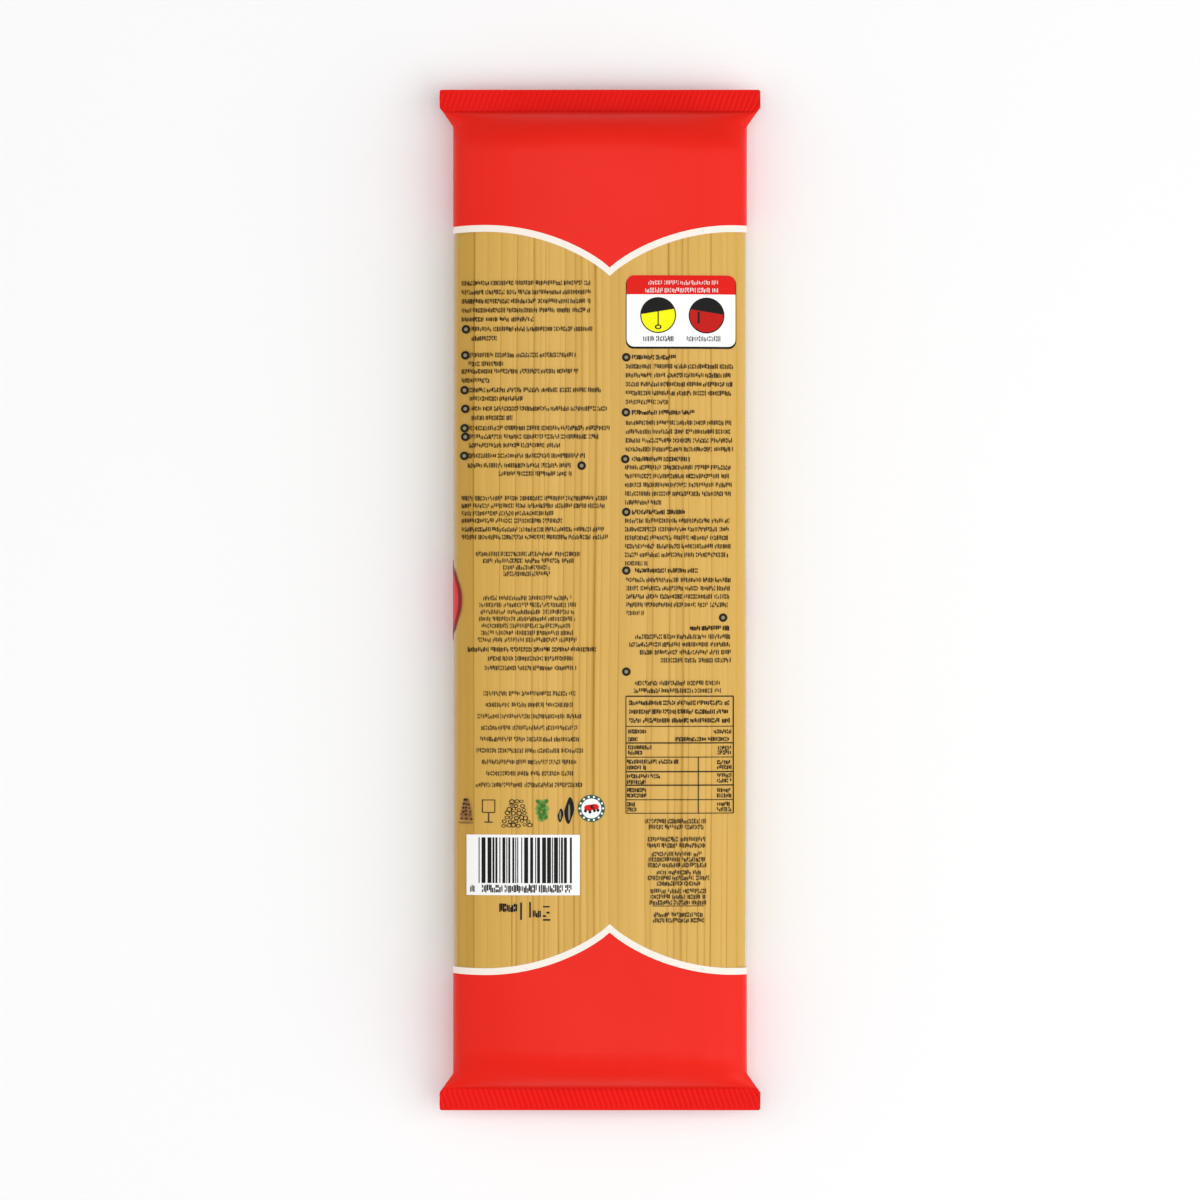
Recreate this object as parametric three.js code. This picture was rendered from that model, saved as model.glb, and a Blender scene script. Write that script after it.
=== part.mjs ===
// A packet of long dried pasta, sealed in one tube of film with a crimped seal at each end.
// It lies on its front with the printed back up. Millimetres: X across the packet, Y along it,
// Z up. The origin is on the surface it lies on, under the middle of the packet.
import * as THREE from 'three';
import { mergeVertices } from 'three/addons/utils/BufferGeometryUtils.js';

// The filled body
const PACKET_LENGTH = 296;
const BODY_WIDTH = 85.2;
const BODY_HEIGHT = 22;
const WIDEST_LEVEL = 10; // height of the two long edges, and of the end seals
const TOP_FULLNESS = 2.8; // exponent of the upper half of the section, 2 being an ellipse
const BASE_FULLNESS = 2.9;
const BASE_PRESS = 1.06; // the underside bulges this much, and the floor presses it flat

// The crimped end seals
const SEAL_WIDTH = 93;
const SEAL_DEPTH = 6.4;
const SEAL_THICKNESS = 0.5;
const SEAL_DROOP = 0.9; // how far the free edge hangs below the shoulder
const SEAL_WAVE = 0.35;
const WAVES_PER_SEAL = 2.5;
const RIBS_PER_SEAL = 60;
const RIB_HEIGHT = 0.5; // crest to valley
const RIB_LEAN = 3; // half ribs that a crest shifts towards +X on its way to the free edge
const PLAIN_EDGE = 0.7; // smooth strip outside the ribs
const PLAIN_ROOT = 0.3; // smooth strip between the ribs and the shoulder

// The shoulders, where the flat seal opens into the body
const DRAW_IN_SEAL = 1.3; // the sides start to draw in this far out in the seal
const DRAW_IN_BODY = 4.4; // and reach the body's width this far behind it
const ROLL_LENGTH = 12.5; // the top and the underside reach their full height over this one
const ROLL_FULLNESS = 2.3;
const CORNER_FULLNESS = 1.7; // a soft exponent, so that the four corners are round

// How finely the surface is divided
const BODY_COLUMNS = 40;
const RIB_COLUMNS = 2 * RIBS_PER_SEAL;
const SHOULDER_DEPTHS = [0.6, 1.5, 2.8, DRAW_IN_BODY, 6.4, 9.2, ROLL_LENGTH];
const BODY_BAYS = 6;

const FILM = new THREE.MeshStandardMaterial({ color: 0xd7af5d, roughness: 0.35, metalness: 0 });

const shoulderStart = PACKET_LENGTH / 2 - SEAL_DEPTH;
const halfSkin = SEAL_THICKNESS / 2;
const { lerp, smoothstep } = THREE.MathUtils;

// A quarter of a superellipse: 1 at share 0, falling to 0 at share 1.
function bulge(share, fullness) {
  const inside = Math.max(0, 1 - Math.abs(share) ** fullness);
  return inside ** (1 / fullness);
}

// Half the packet's width at a distance behind the shoulder's start, negative in the seal.
function halfWidthAt(depth) {
  const drawn = (depth + DRAW_IN_SEAL) / (DRAW_IN_SEAL + DRAW_IN_BODY);
  return lerp(SEAL_WIDTH, BODY_WIDTH, Math.min(1, Math.max(0, drawn))) / 2;
}

// One cross-section: points from left to right over the top and along the underside, and the
// marks that pair them with the points of the next section.
function section(y, xs, marks, topOf, baseOf) {
  return {
    top: xs.map((x, i) => new THREE.Vector3(x, y, topOf(x, marks[i]))),
    base: xs.map((x, i) => new THREE.Vector3(x, y, baseOf(x, marks[i]))),
    marks,
  };
}

// The body at a distance behind the shoulder's start, with its points closer near the edges.
function bodySection(depth, end) {
  const halfWidth = halfWidthAt(depth);
  const rolled = Math.min(1, depth / ROLL_LENGTH);
  const rise = bulge(1 - rolled, ROLL_FULLNESS);
  const soften = smoothstep(rolled, 0, 1);
  const topFullness = lerp(CORNER_FULLNESS, TOP_FULLNESS, soften);
  const baseFullness = lerp(CORNER_FULLNESS, BASE_FULLNESS, soften);
  const topReach = (BODY_HEIGHT - WIDEST_LEVEL - halfSkin) * rise;
  const baseReach = (WIDEST_LEVEL - halfSkin) * rise;

  const xs = [];
  const marks = [];
  for (let i = 0; i <= BODY_COLUMNS; i += 1) {
    const share = -Math.cos((Math.PI * i) / BODY_COLUMNS);
    xs.push(share * halfWidth);
    marks.push(share);
  }
  const topOf = (x) => WIDEST_LEVEL + halfSkin + topReach * bulge(x / halfWidth, topFullness);
  const baseOf = (x) => {
    const drop = BASE_PRESS * baseReach * bulge(x / halfWidth, baseFullness);
    return WIDEST_LEVEL - halfSkin - Math.min(baseReach, drop);
  };
  return section(end * (shoulderStart - depth), xs, marks, topOf, baseOf);
}

// The middle of the seal's two films at a distance outside the shoulder: it droops and waves.
function sealLevel(x, reach) {
  const wave = Math.cos((2 * Math.PI * WAVES_PER_SEAL * x) / SEAL_WIDTH);
  return WIDEST_LEVEL + (reach / SEAL_DEPTH) * (SEAL_WAVE * wave - SEAL_DROOP);
}

// A smooth line across the seal.
function plainSealSection(reach, end) {
  const halfWidth = halfWidthAt(-reach);
  const marks = Array.from({ length: BODY_COLUMNS + 1 }, (_, i) => (2 * i) / BODY_COLUMNS - 1);
  const xs = marks.map((mark) => mark * halfWidth);
  const topOf = (x) => sealLevel(x, reach) + halfSkin;
  const baseOf = (x) => sealLevel(x, reach) - halfSkin;
  return section(end * (shoulderStart + reach), xs, marks, topOf, baseOf);
}

// A line across the ribs, with a point on each crest and valley. The ribs lean, so their
// places shift with the reach, while their marks stay. Both films follow the same ribs.
function ribbedSealSection(reach, end) {
  const halfWidth = halfWidthAt(-reach);
  const halfRib = SEAL_WIDTH / RIB_COLUMNS;
  const ribShare = (reach - PLAIN_ROOT) / (SEAL_DEPTH - PLAIN_EDGE - PLAIN_ROOT);
  const shift = RIB_LEAN * ribShare * halfRib;
  const xs = [-halfWidth];
  for (let place = shift - SEAL_WIDTH; place < halfWidth - halfRib / 3; place += halfRib) {
    if (place > halfRib / 3 - halfWidth) xs.push(place);
  }
  xs.push(halfWidth);
  const marks = xs.map((x) => (2 * (x - shift)) / SEAL_WIDTH);
  const crestOf = (mark) => {
    const halfRibs = (mark * RIB_COLUMNS) / 2;
    return 0.5 - Math.acos(Math.cos(Math.PI * halfRibs)) / Math.PI;
  };
  const middleOf = (x, mark) => sealLevel(x, reach) + RIB_HEIGHT * crestOf(mark);
  const topOf = (x, mark) => middleOf(x, mark) + halfSkin;
  const baseOf = (x, mark) => middleOf(x, mark) - halfSkin;
  return section(end * (shoulderStart + reach), xs, marks, topOf, baseOf);
}

// Triangles between two rows of points, each step taken along the row that is behind.
function stitchRows(faces, a, b, aMarks, bMarks) {
  let i = 0;
  let j = 0;
  while (i < a.length - 1 || j < b.length - 1) {
    const nextA = i < a.length - 1 ? aMarks[i + 1] : Infinity;
    const nextB = j < b.length - 1 ? bMarks[j + 1] : Infinity;
    if (nextA <= nextB) {
      faces.push([a[i], a[i + 1], b[j]]);
      i += 1;
    } else {
      faces.push([a[i], b[j + 1], b[j]]);
      j += 1;
    }
  }
}

function addQuad(faces, a, b, c, d) {
  faces.push([a, b, c], [a, c, d]);
}

// The skin between two neighbouring sections, the first one nearer to the low Y end.
function joinSections(faces, near, far) {
  const underside = [];
  stitchRows(faces, near.top, far.top, near.marks, far.marks);
  stitchRows(underside, near.base, far.base, near.marks, far.marks);
  underside.forEach(([a, b, c]) => faces.push([a, c, b]));
  addQuad(faces, near.base[0], near.top[0], far.top[0], far.base[0]);
  addQuad(faces, near.top.at(-1), near.base.at(-1), far.base.at(-1), far.top.at(-1));
}

// The thin free edge of a seal.
function capSection(faces, { top, base }, end) {
  for (let i = 0; i < top.length - 1; i += 1) {
    const [a, b] = end > 0 ? [i + 1, i] : [i, i + 1];
    addQuad(faces, base[a], base[b], top[b], top[a]);
  }
}

// Sections from the middle of the packet to the free edge of one end, +1 or -1 along Y.
function endSections(end) {
  const sections = [];
  for (let bay = 1; bay < BODY_BAYS / 2; bay += 1) {
    const depth = lerp(shoulderStart, ROLL_LENGTH, (2 * bay) / BODY_BAYS);
    sections.push(bodySection(depth, end));
  }
  SHOULDER_DEPTHS.toReversed().forEach((depth) => {
    sections.push(bodySection(depth, end));
  });
  sections.push(plainSealSection(0, end));
  [PLAIN_ROOT, DRAW_IN_SEAL, SEAL_DEPTH - PLAIN_EDGE].forEach((reach) => {
    sections.push(ribbedSealSection(reach, end));
  });
  sections.push(plainSealSection(SEAL_DEPTH, end));
  return sections;
}

function packetGeometry() {
  const middle = bodySection(shoulderStart, 1);
  const sections = [...endSections(-1).toReversed(), middle, ...endSections(1)];
  const faces = [];
  for (let i = 0; i < sections.length - 1; i += 1) {
    joinSections(faces, sections[i], sections[i + 1]);
  }
  capSection(faces, sections[0], -1);
  capSection(faces, sections.at(-1), 1);

  const geometry = new THREE.BufferGeometry().setFromPoints(faces.flat());
  const welded = mergeVertices(geometry);
  welded.computeVertexNormals();
  return welded;
}

const packet = new THREE.Mesh(packetGeometry(), FILM);
packet.name = 'packet';

const group = new THREE.Group();
group.add(packet);

export default group;
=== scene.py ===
import math
import random
from bisect import bisect_right
from typing import NamedTuple

import bpy
from bpy.props import FloatProperty, FloatVectorProperty, IntProperty, PointerProperty
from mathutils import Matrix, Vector


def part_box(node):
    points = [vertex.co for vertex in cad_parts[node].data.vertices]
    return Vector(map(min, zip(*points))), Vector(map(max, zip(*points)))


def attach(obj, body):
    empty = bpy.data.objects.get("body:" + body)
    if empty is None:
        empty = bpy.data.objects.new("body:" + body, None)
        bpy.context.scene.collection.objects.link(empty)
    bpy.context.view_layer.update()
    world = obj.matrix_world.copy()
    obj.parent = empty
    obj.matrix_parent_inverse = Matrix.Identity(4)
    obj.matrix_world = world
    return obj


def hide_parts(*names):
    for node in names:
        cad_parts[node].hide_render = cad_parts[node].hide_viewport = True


bl_info = {
    "name": "Pasta Packet",
    "version": (1, 0, 0),
    "blender": (4, 5, 0),
    "location": "3D View > Sidebar > Packet",
    "description": "Builds a film packet of long dried pasta, printed back up, on a pale floor",
    "category": "Object",
}

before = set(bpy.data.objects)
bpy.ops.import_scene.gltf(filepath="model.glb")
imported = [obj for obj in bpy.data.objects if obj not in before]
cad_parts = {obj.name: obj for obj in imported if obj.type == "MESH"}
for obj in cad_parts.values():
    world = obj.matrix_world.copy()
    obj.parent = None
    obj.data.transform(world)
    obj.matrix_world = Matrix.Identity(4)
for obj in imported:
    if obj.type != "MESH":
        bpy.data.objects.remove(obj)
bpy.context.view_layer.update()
PACKET_LOW, PACKET_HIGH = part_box("packet")
MM = 0.001


def scene_colour(red, green, blue):
    """Scene colour of a colour given as 0 to 255."""
    channels = []
    for value in (red, green, blue):
        share = value / 255.0
        if share <= 0.04045:
            channels.append(share / 12.92)
        else:
            channels.append(((share + 0.055) / 1.055) ** 2.4)
    return tuple(channels)


def length(name, description, millimetres):
    """A length that a user may change, in metres with a default given in millimetres."""
    return FloatProperty(
        name=name, description=description, default=millimetres * MM, unit="LENGTH", precision=5
    )


def colour(name, description, red, green, blue):
    """A colour that a user may change, with a default given as 0 to 255."""
    return FloatVectorProperty(
        name=name,
        description=description,
        subtype="COLOR",
        size=3,
        min=0.0,
        max=1.0,
        default=scene_colour(red, green, blue),
    )


# Sizes and colours

class PacketSizes(bpy.types.PropertyGroup):
    """Sizes of the film tube and of its two end seals."""

    packet_length: FloatProperty(
        name="Length",
        description="Length over both end seals",
        default=PACKET_HIGH.y - PACKET_LOW.y,
        unit="LENGTH",
    )
    seal_width: FloatProperty(
        name="Seal width",
        description="Width of the flat end seals",
        default=PACKET_HIGH.x - PACKET_LOW.x,
        unit="LENGTH",
    )
    packet_height: FloatProperty(
        name="Height",
        description="Height of the filled tube",
        default=PACKET_HIGH.z - PACKET_LOW.z,
        unit="LENGTH",
    )
    body_width: length("Body width", "Width of the filled tube", 85.2)
    widest_level: length("Widest level", "Height at which the tube is widest", 10.0)
    skin_clearance: length("Skin clearance", "Room left for print over and under the film", 0.1)
    film_thickness: length("Film thickness", "Thickness of the film wall", 0.06)
    seal_depth: length("Seal depth", "Length of each crimped end seal", 6.4)
    seal_thickness: length("Seal thickness", "Thickness of the two welded films", 0.2)
    seal_droop: length("Seal droop", "How far the free edge hangs below the root", 0.9)
    seal_wave: length("Seal wave", "Height of the slow wave along the free edge", 0.35)
    rib_pitch: length("Rib pitch", "Distance from one crimp rib to the next", 1.55)
    rib_height: length("Rib height", "Height of the crimp ribs, crest to valley", 0.28)
    rib_lean: length("Rib lean", "How far a rib leans sideways over its length", 2.3)
    plain_edge: length("Plain edge", "Plain strip along the free edge", 0.7)
    corner_radius: length("Corner radius", "Rounding of the seal corners", 0.6)
    shoulder_length: length("Shoulder length", "Length over which the tube rises from the seal", 12.5)
    draw_in_seal: length("Draw-in on the seal", "Start of the draw-in, on the seal", 1.3)
    draw_in_body: length("Draw-in on the body", "End of the draw-in, on the body", 4.4)
    pucker_height: length("Pucker height", "Height of the folds where the film meets the seal", 0.14)
    top_fullness: FloatProperty(
        name="Top fullness", description="How square the upper half of the section is", default=2.8
    )
    base_fullness: FloatProperty(
        name="Base fullness", description="How square the lower half of the section is", default=2.9
    )
    corner_fullness: FloatProperty(
        name="Shoulder fullness", description="How square the section is at the seal", default=1.7
    )
    roll_fullness: FloatProperty(
        name="Shoulder roll", description="How round the rise from the seal is", default=2.3
    )
    base_press: FloatProperty(
        name="Base press", description="How much of the underside is pressed flat", default=1.06
    )


class BandSizes(bpy.types.PropertyGroup):
    """Sizes of the printed bands on the film."""

    border_level: length("Border level", "Outer edge of the pale border from the middle", 108.4)
    border_width: length("Border width", "Width of the pale border", 1.95)
    scallop_radius: length("Scallop radius", "Radius of each scallop of the border", 61.8)
    scallop_reach: length("Scallop reach", "Distance from the cusp to the top of a scallop", 36.5)
    cusp_place: length("Cusp place", "Place of the cusp across the printed back", 2.8)
    cusp_point: length("Cusp point", "How far the cusp reaches past the scallops", 0.45)
    cusp_spread: length("Cusp spread", "Distance over which the cusp's point dies away", 2.4)
    side_dip: length("Side dip", "How far the border drops at its left edge", 0.4)
    front_band_length: length("Front band length", "Length of the band on the front", 94.4)
    front_band_width: length("Front band width", "Width of the band on the front", 21.4)
    front_band_place: length("Front band place", "How far the band lies to the left", 5.7)
    front_rim_width: length("Front rim width", "Width of the darker rim of the band", 1.25)


class PrintSizes(bpy.types.PropertyGroup):
    """Sizes of the small print on the back."""

    line_height: length("Line height", "Height of a line of small print", 1.45)
    stroke_width: length("Stroke width", "Width of the marks in a line", 0.27)
    stroke_pitch: length("Stroke pitch", "Distance from mark to mark in a line", 0.47)
    bullet_radius: length("Bullet radius", "Radius of the round marks before a line", 1.25)
    bullet_centre: FloatProperty(
        name="Bullet centre", description="Radius of its grey centre, as a share", default=0.42
    )
    rule_width: length("Rule width", "Width of a line of the table", 0.24)
    strip_width: length("Strip width", "Width of the strips that wide print is cut into", 1.3)
    ink_thickness: length("Ink thickness", "Thickness of the printed shapes", 0.02)
    ink_step: length("Ink step", "Height from one layer of print to the next", 0.025)


class PanelSizes(bpy.types.PropertyGroup):
    """Sizes of the white panel on the back."""

    left: length("Left", "Place of its left side across the back", 7.7)
    right: length("Right", "Place of its right side across the back", 39.2)
    top: length("Top", "Place of its upper side along the packet", 93.8)
    base: length("Base", "Place of its lower side along the packet", 73.2)
    head: length("Head", "Height of its red head", 5.5)
    corner_radius: length("Corner radius", "Rounding of its corners", 2.1)
    outline: length("Outline", "How far its dark outline shows at the foot", 0.42)
    disc_radius: length("Disc radius", "Radius of the two discs", 5.2)
    disc_rim: length("Disc rim", "Width of the dark rim of the discs", 0.33)


class StrandSizes(bpy.types.PropertyGroup):
    """Sizes of the dried pasta strands."""

    strand_length: length("Strand length", "Length of a strand", 257.0)
    strand_width: length("Strand width", "Width of a strand", 4.6)
    strand_thickness: length("Strand thickness", "Thickness of a strand", 1.25)
    edge_rounding: length("Edge rounding", "Rounding of the strand's long edges", 0.45)
    closed_overlap: length("Closed overlap", "How far strands meet where no line shows", 0.27)
    open_overlap: length("Open overlap", "How far strands meet where a line shows", 0.1)
    film_gap: length("Film gap", "Gap between the film and the first layer", 0.05)
    layer_pitch: length("Layer pitch", "Distance from layer to layer", 1.3)
    wander: length("Wander", "How far a strand strays from straight", 0.35)
    rings: IntProperty(name="Rings", description="Layers that follow the film", default=3, min=1)
    segments: IntProperty(name="Segments", description="Parts along a strand", default=12, min=4)


class PacketColours(bpy.types.PropertyGroup):
    """Colours of the film, the print and the pasta."""

    # The ends' red carries a little more green than the seals' red, as painted warm sheen of the film's
    # flat top; the seals' red is the plainer ink.
    red: colour("Red", "Red ink of the ends", 237, 35, 22)
    seal_red: colour("Seal red", "Red ink of the crimped seals", 233, 24, 18)
    panel_red: colour("Panel red", "Red ink of the panel and the badge", 227, 22, 14)
    disc_red: colour("Disc red", "Red ink of the panel's red disc", 196, 22, 14)
    # The front band's pinkish red is partly its ink and partly painted sheen where the film turns down
    # at the side.
    front_red: colour("Front red", "Red ink of the front band", 222, 64, 62)
    deep_red: colour("Deep red", "Darker red of the front band's rim", 146, 30, 44)
    cream: colour("Cream", "Pale border", 251, 240, 229)
    clear: colour("Clear film", "Haze of the clear film", 250, 250, 248)
    ink: colour("Dark ink", "Ink of the small print", 40, 31, 18)
    black: colour("Black ink", "Ink of the bars and the heavy marks", 22, 21, 20)
    brown: colour("Brown ink", "Ink of the brown shapes", 148, 104, 66)
    grey: colour("Grey ink", "Centres of the round marks", 146, 136, 112)
    white: colour("White ink", "White fields of the print", 252, 252, 251)
    yellow: colour("Yellow ink", "Yellow disc", 253, 250, 6)
    leaf: colour("Leaf green", "Lighter small leaves", 122, 160, 74)
    deep_leaf: colour("Deep leaf green", "Darker small leaves", 66, 122, 44)
    dark_green: colour("Dark green", "Ring of the badge", 52, 92, 78)
    pasta: colour("Pasta", "Dried pasta", 220, 175, 77)
    # Painted shade and sheen of the bundle's outermost left edge.
    pasta_side_painted_shade: colour("Shaded pasta", "Strands at the shaded left side", 190, 159, 96)
    # The deep colour serves the streaks, and also the painted shade at the lines between strands and at
    # the bundle's left side.
    pasta_deep_and_shade: colour("Deep pasta", "Edges of the strands and streaks in them", 186, 138, 12)


class StageSettings(bpy.types.PropertyGroup):
    """Settings of the camera, the lights and the floor."""

    lens: FloatProperty(name="Lens", description="Focal length in millimetres", default=300.0)
    picture_width: length("Picture width", "Width that the camera sees at the widest level", 348.0)
    key_power: FloatProperty(name="Key light", description="Power of the right light", default=39.0)
    fill_power: FloatProperty(name="Fill light", description="Power of the left light", default=16.0)
    top_power: FloatProperty(name="Top light", description="Power of the light above", default=18.0)
    sky: FloatProperty(name="Sky", description="Strength of the room light", default=0.33)


# Shape of the film

# Small folds at the shoulders: how far they reach, where they start, their width and its drift.
FOLD_REACH = 11 * MM
FOLD_START = 2 * MM
FOLD_WIDTH = 1.35 * MM
FOLD_DRIFT = 6.1 * MM
FOLD_SPREAD = 1.7
# How gently the underside turns from flat to round, as a share of its depth.
BASE_SOFTNESS = 0.08
# Parts that the film is cut into, left and right of the cusp and along each band.
LEFT_PARTS = 34
RIGHT_PARTS = 32
RED_PARTS = 10
SHOULDER_PARTS = 26
BORDER_PARTS = 3
WINDOW_PARTS = 48


def lerp(start, end, share):
    """The value at a share of the way between two values."""
    return start + (end - start) * share


def clamp(value):
    """A value held between 0 and 1."""
    return max(0.0, min(1.0, value))


def smooth(share):
    """A share that starts and ends gently."""
    held = clamp(share)
    return held * held * (3.0 - 2.0 * held)


def bulge(share, fullness):
    """Height of a rounded section, as a share, at a share of its half width."""
    return max(0.0, 1.0 - abs(share) ** fullness) ** (1.0 / fullness)


def soft_least(first, second, softness):
    """The smaller of two values, with the change from one to the other rounded."""
    share = clamp(0.5 + 0.5 * (second - first) / softness)
    return lerp(second, first, share) - softness * share * (1.0 - share)


def shoulder_start(sizes):
    """Distance from the middle at which the tube meets its seals."""
    return sizes.packet_length / 2.0 - sizes.seal_depth


def half_width(sizes, depth):
    """Half width of the packet at a depth below the seal's root, less than 0 on the seal."""
    drawn = clamp((depth + sizes.draw_in_seal) / (sizes.draw_in_seal + sizes.draw_in_body))
    return lerp(sizes.seal_width, sizes.body_width, drawn) / 2.0


def pucker(sizes, x, depth):
    """Small folds that run from the seal into the film and die away."""
    strength = math.exp(-depth / FOLD_REACH) * (1.0 - math.exp(-depth / FOLD_START))
    folds = math.sin(x / FOLD_WIDTH + FOLD_SPREAD * math.sin(x / FOLD_DRIFT))
    return sizes.pucker_height * strength * folds


def film_point(sizes, y, share, side):
    """A point of the film: its place along, its share of the half width, and 1 above or -1 below."""
    depth = max(0.0, shoulder_start(sizes) - abs(y))
    rolled = min(1.0, depth / sizes.shoulder_length)
    rise = bulge(1.0 - rolled, sizes.roll_fullness)
    soften = smooth(rolled)
    skin = sizes.seal_thickness / 2.0
    x = share * half_width(sizes, depth)
    if side > 0:
        fullness = lerp(sizes.corner_fullness, sizes.top_fullness, soften)
        room = sizes.packet_height - sizes.widest_level - sizes.skin_clearance - skin
        height = (skin + room * rise) * bulge(share, fullness)
    else:
        fullness = lerp(sizes.corner_fullness, sizes.base_fullness, soften)
        room = sizes.widest_level - sizes.skin_clearance - skin
        deepest = skin + room * rise
        curved = sizes.base_press * deepest * bulge(share, fullness)
        height = soft_least(curved, deepest, BASE_SOFTNESS * deepest)
    height += pucker(sizes, x, depth) * bulge(share, 2.0) * rise
    return Vector((x, y, sizes.widest_level + side * height))


def back_height(sizes, x):
    """Height of the printed back of the body at a place across it."""
    share = max(-1.0, min(1.0, x / (sizes.body_width / 2.0)))
    return film_point(sizes, 0.0, share, 1).z


def top_shares(cusp_share, left_parts, right_parts):
    """Shares of the half width from -1 to 1, close together at the sides, one on the cusp."""
    shares = []
    for part in range(left_parts):
        turn = math.pi / 2.0 * part / left_parts
        shares.append(-1.0 + (1.0 + cusp_share) * (1.0 - math.cos(turn)))
    for part in range(right_parts + 1):
        turn = math.pi / 2.0 * part / right_parts
        shares.append(cusp_share + (1.0 - cusp_share) * math.sin(turn))
    return shares


def round_columns(sizes, bands):
    """Shares and sides all round the tube, from the left over the back and under the front."""
    cusp_share = bands.cusp_place / (sizes.body_width / 2.0)
    over = top_shares(cusp_share, LEFT_PARTS, RIGHT_PARTS)
    columns = [(share, 1) for share in over]
    columns += [(-share, -1) for share in over[1:]]
    return columns


def border_edge(sizes, bands, x, side, inset):
    """Distance from the middle at which an edge of the border crosses a place across the packet."""
    away = abs(x - side * bands.cusp_place)
    across = max(0.0, bands.scallop_reach - away)
    centre = bands.border_level - bands.scallop_radius
    level = centre + math.sqrt((bands.scallop_radius - inset) ** 2 - across**2)
    apex = bands.scallop_reach - bands.cusp_place
    dip = clamp((-x - apex) / (sizes.body_width / 2.0 - apex))
    point = bands.cusp_point * math.exp(-away / bands.cusp_spread)
    return level - bands.side_dip * dip * dip - point


# Modelling helpers

def begin():
    """Nothing selected, in object mode."""
    bpy.ops.object.select_all(action="DESELECT")


def edit(piece, kind="VERT", everything=True):
    """Opens a piece in edit mode, with everything or nothing selected."""
    bpy.context.view_layer.objects.active = piece
    bpy.ops.object.mode_set(mode="EDIT")
    bpy.ops.mesh.select_mode(type=kind)
    bpy.ops.mesh.select_all(action="SELECT" if everything else "DESELECT")


def leave_edit():
    """Back to object mode."""
    bpy.ops.object.mode_set(mode="OBJECT")


def grid_of(name, columns, rows, place):
    """A grid whose points are put in place by a function of their column and row."""
    begin()
    bpy.ops.mesh.primitive_grid_add(x_subdivisions=columns, y_subdivisions=rows, size=1.0)
    piece = bpy.context.active_object
    piece.name = name
    for vertex in piece.data.vertices:
        column = round((vertex.co.x + 0.5) * columns)
        row = round((vertex.co.y + 0.5) * rows)
        vertex.co = place(column, row)
    return piece


def close_seam(piece):
    """Welds the points that meet."""
    edit(piece)
    bpy.ops.mesh.remove_doubles(threshold=0.002 * MM)
    leave_edit()


def thicken(piece, thickness, offset):
    """Gives a sheet its thickness, inwards at -1, both ways at 0 and outwards at 1."""
    bpy.context.view_layer.objects.active = piece
    wall = piece.modifiers.new("wall", "SOLIDIFY")
    wall.thickness = thickness
    wall.offset = offset
    wall.use_even_offset = True
    bpy.ops.object.modifier_apply(modifier=wall.name)


def cut_strips(piece, spacing, axis=0):
    """Cuts a flat shape into strips, so that it can follow a curved surface."""
    places = [vertex.co[axis] for vertex in piece.data.vertices]
    low = min(places)
    high = max(places)
    count = max(1, round((high - low) / spacing))
    normal = [0.0, 0.0, 0.0]
    normal[axis] = 1.0
    for part in range(1, count):
        point = [0.0, 0.0, 0.0]
        point[axis] = lerp(low, high, part / count)
        edit(piece)
        bpy.ops.mesh.bisect(plane_co=point, plane_no=normal)
        leave_edit()


def turn_up(piece):
    """Turns every face of a flat shape upwards."""
    edit(piece, "FACE")
    bpy.ops.mesh.normals_make_consistent(inside=False)
    leave_edit()
    if sum(face.normal.z for face in piece.data.polygons) < 0.0:
        edit(piece, "FACE")
        bpy.ops.mesh.flip_normals()
        leave_edit()


def finish_piece(piece, name, material, slot, smooth_angle=45.0):
    """Names a piece, gives it its material and ties it to the packet."""
    piece.name = name
    piece.data.name = name
    piece.data.materials.clear()
    piece.data.materials.append(material)
    begin()
    piece.select_set(True)
    bpy.context.view_layer.objects.active = piece
    bpy.ops.object.shade_smooth_by_angle(angle=math.radians(smooth_angle))
    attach(piece, "root")
    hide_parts("packet")
    return piece


class FlatCopy(NamedTuple):
    """Where a copy of a flat template goes and how large it is."""

    x: float
    y: float
    width: float = 1.0
    height: float = 1.0


def lay_copies(name, template, copies, layer):
    """Copies a flat template on to the printed back, at a layer of the print, as one piece."""
    sizes = bpy.context.scene.packet_sizes
    print_sizes = bpy.context.scene.packet_print
    lift = print_sizes.ink_step * (layer + 1)
    points = [vertex.co.copy() for vertex in template.data.vertices]
    faces = [tuple(face.vertices) for face in template.data.polygons]
    all_points = []
    all_faces = []
    for copy in copies:
        first = len(all_points)
        for point in points:
            x = copy.x + point.x * copy.width
            y = copy.y + point.y * copy.height
            all_points.append((x, y, back_height(sizes, x) + lift))
        for face in faces:
            all_faces.append(tuple(first + corner for corner in face))
    mesh = bpy.data.meshes.new(name)
    mesh.from_pydata(all_points, [], all_faces)
    piece = bpy.data.objects.new(name, mesh)
    bpy.context.scene.collection.objects.link(piece)
    begin()
    piece.select_set(True)
    turn_up(piece)
    thicken(piece, print_sizes.ink_thickness, -1.0)
    return piece


class Ink(NamedTuple):
    """An ink of the small print: the name of its colour, its roughness and its slot."""

    colour: str
    roughness: float
    slot: str


INKS = {
    "dark_print": Ink("ink", 0.5, "dark_print"),
    "black_print": Ink("black", 0.5, "dark_print"),
    "brown_print": Ink("brown", 0.5, "dark_print"),
    "grey_print": Ink("grey", 0.5, "white_print"),
    "white_print": Ink("white", 0.45, "white_print"),
    "red_ink": Ink("panel_red", 0.45, "red_print"),
    "disc_red_ink": Ink("disc_red", 0.45, "red_print"),
    "yellow_print": Ink("yellow", 0.45, "colour_print"),
    "leaf_print": Ink("leaf", 0.5, "colour_print"),
    "deep_leaf_print": Ink("deep_leaf", 0.5, "colour_print"),
    "green_print": Ink("dark_green", 0.5, "colour_print"),
}
INK_RELIEF = 0.2


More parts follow.
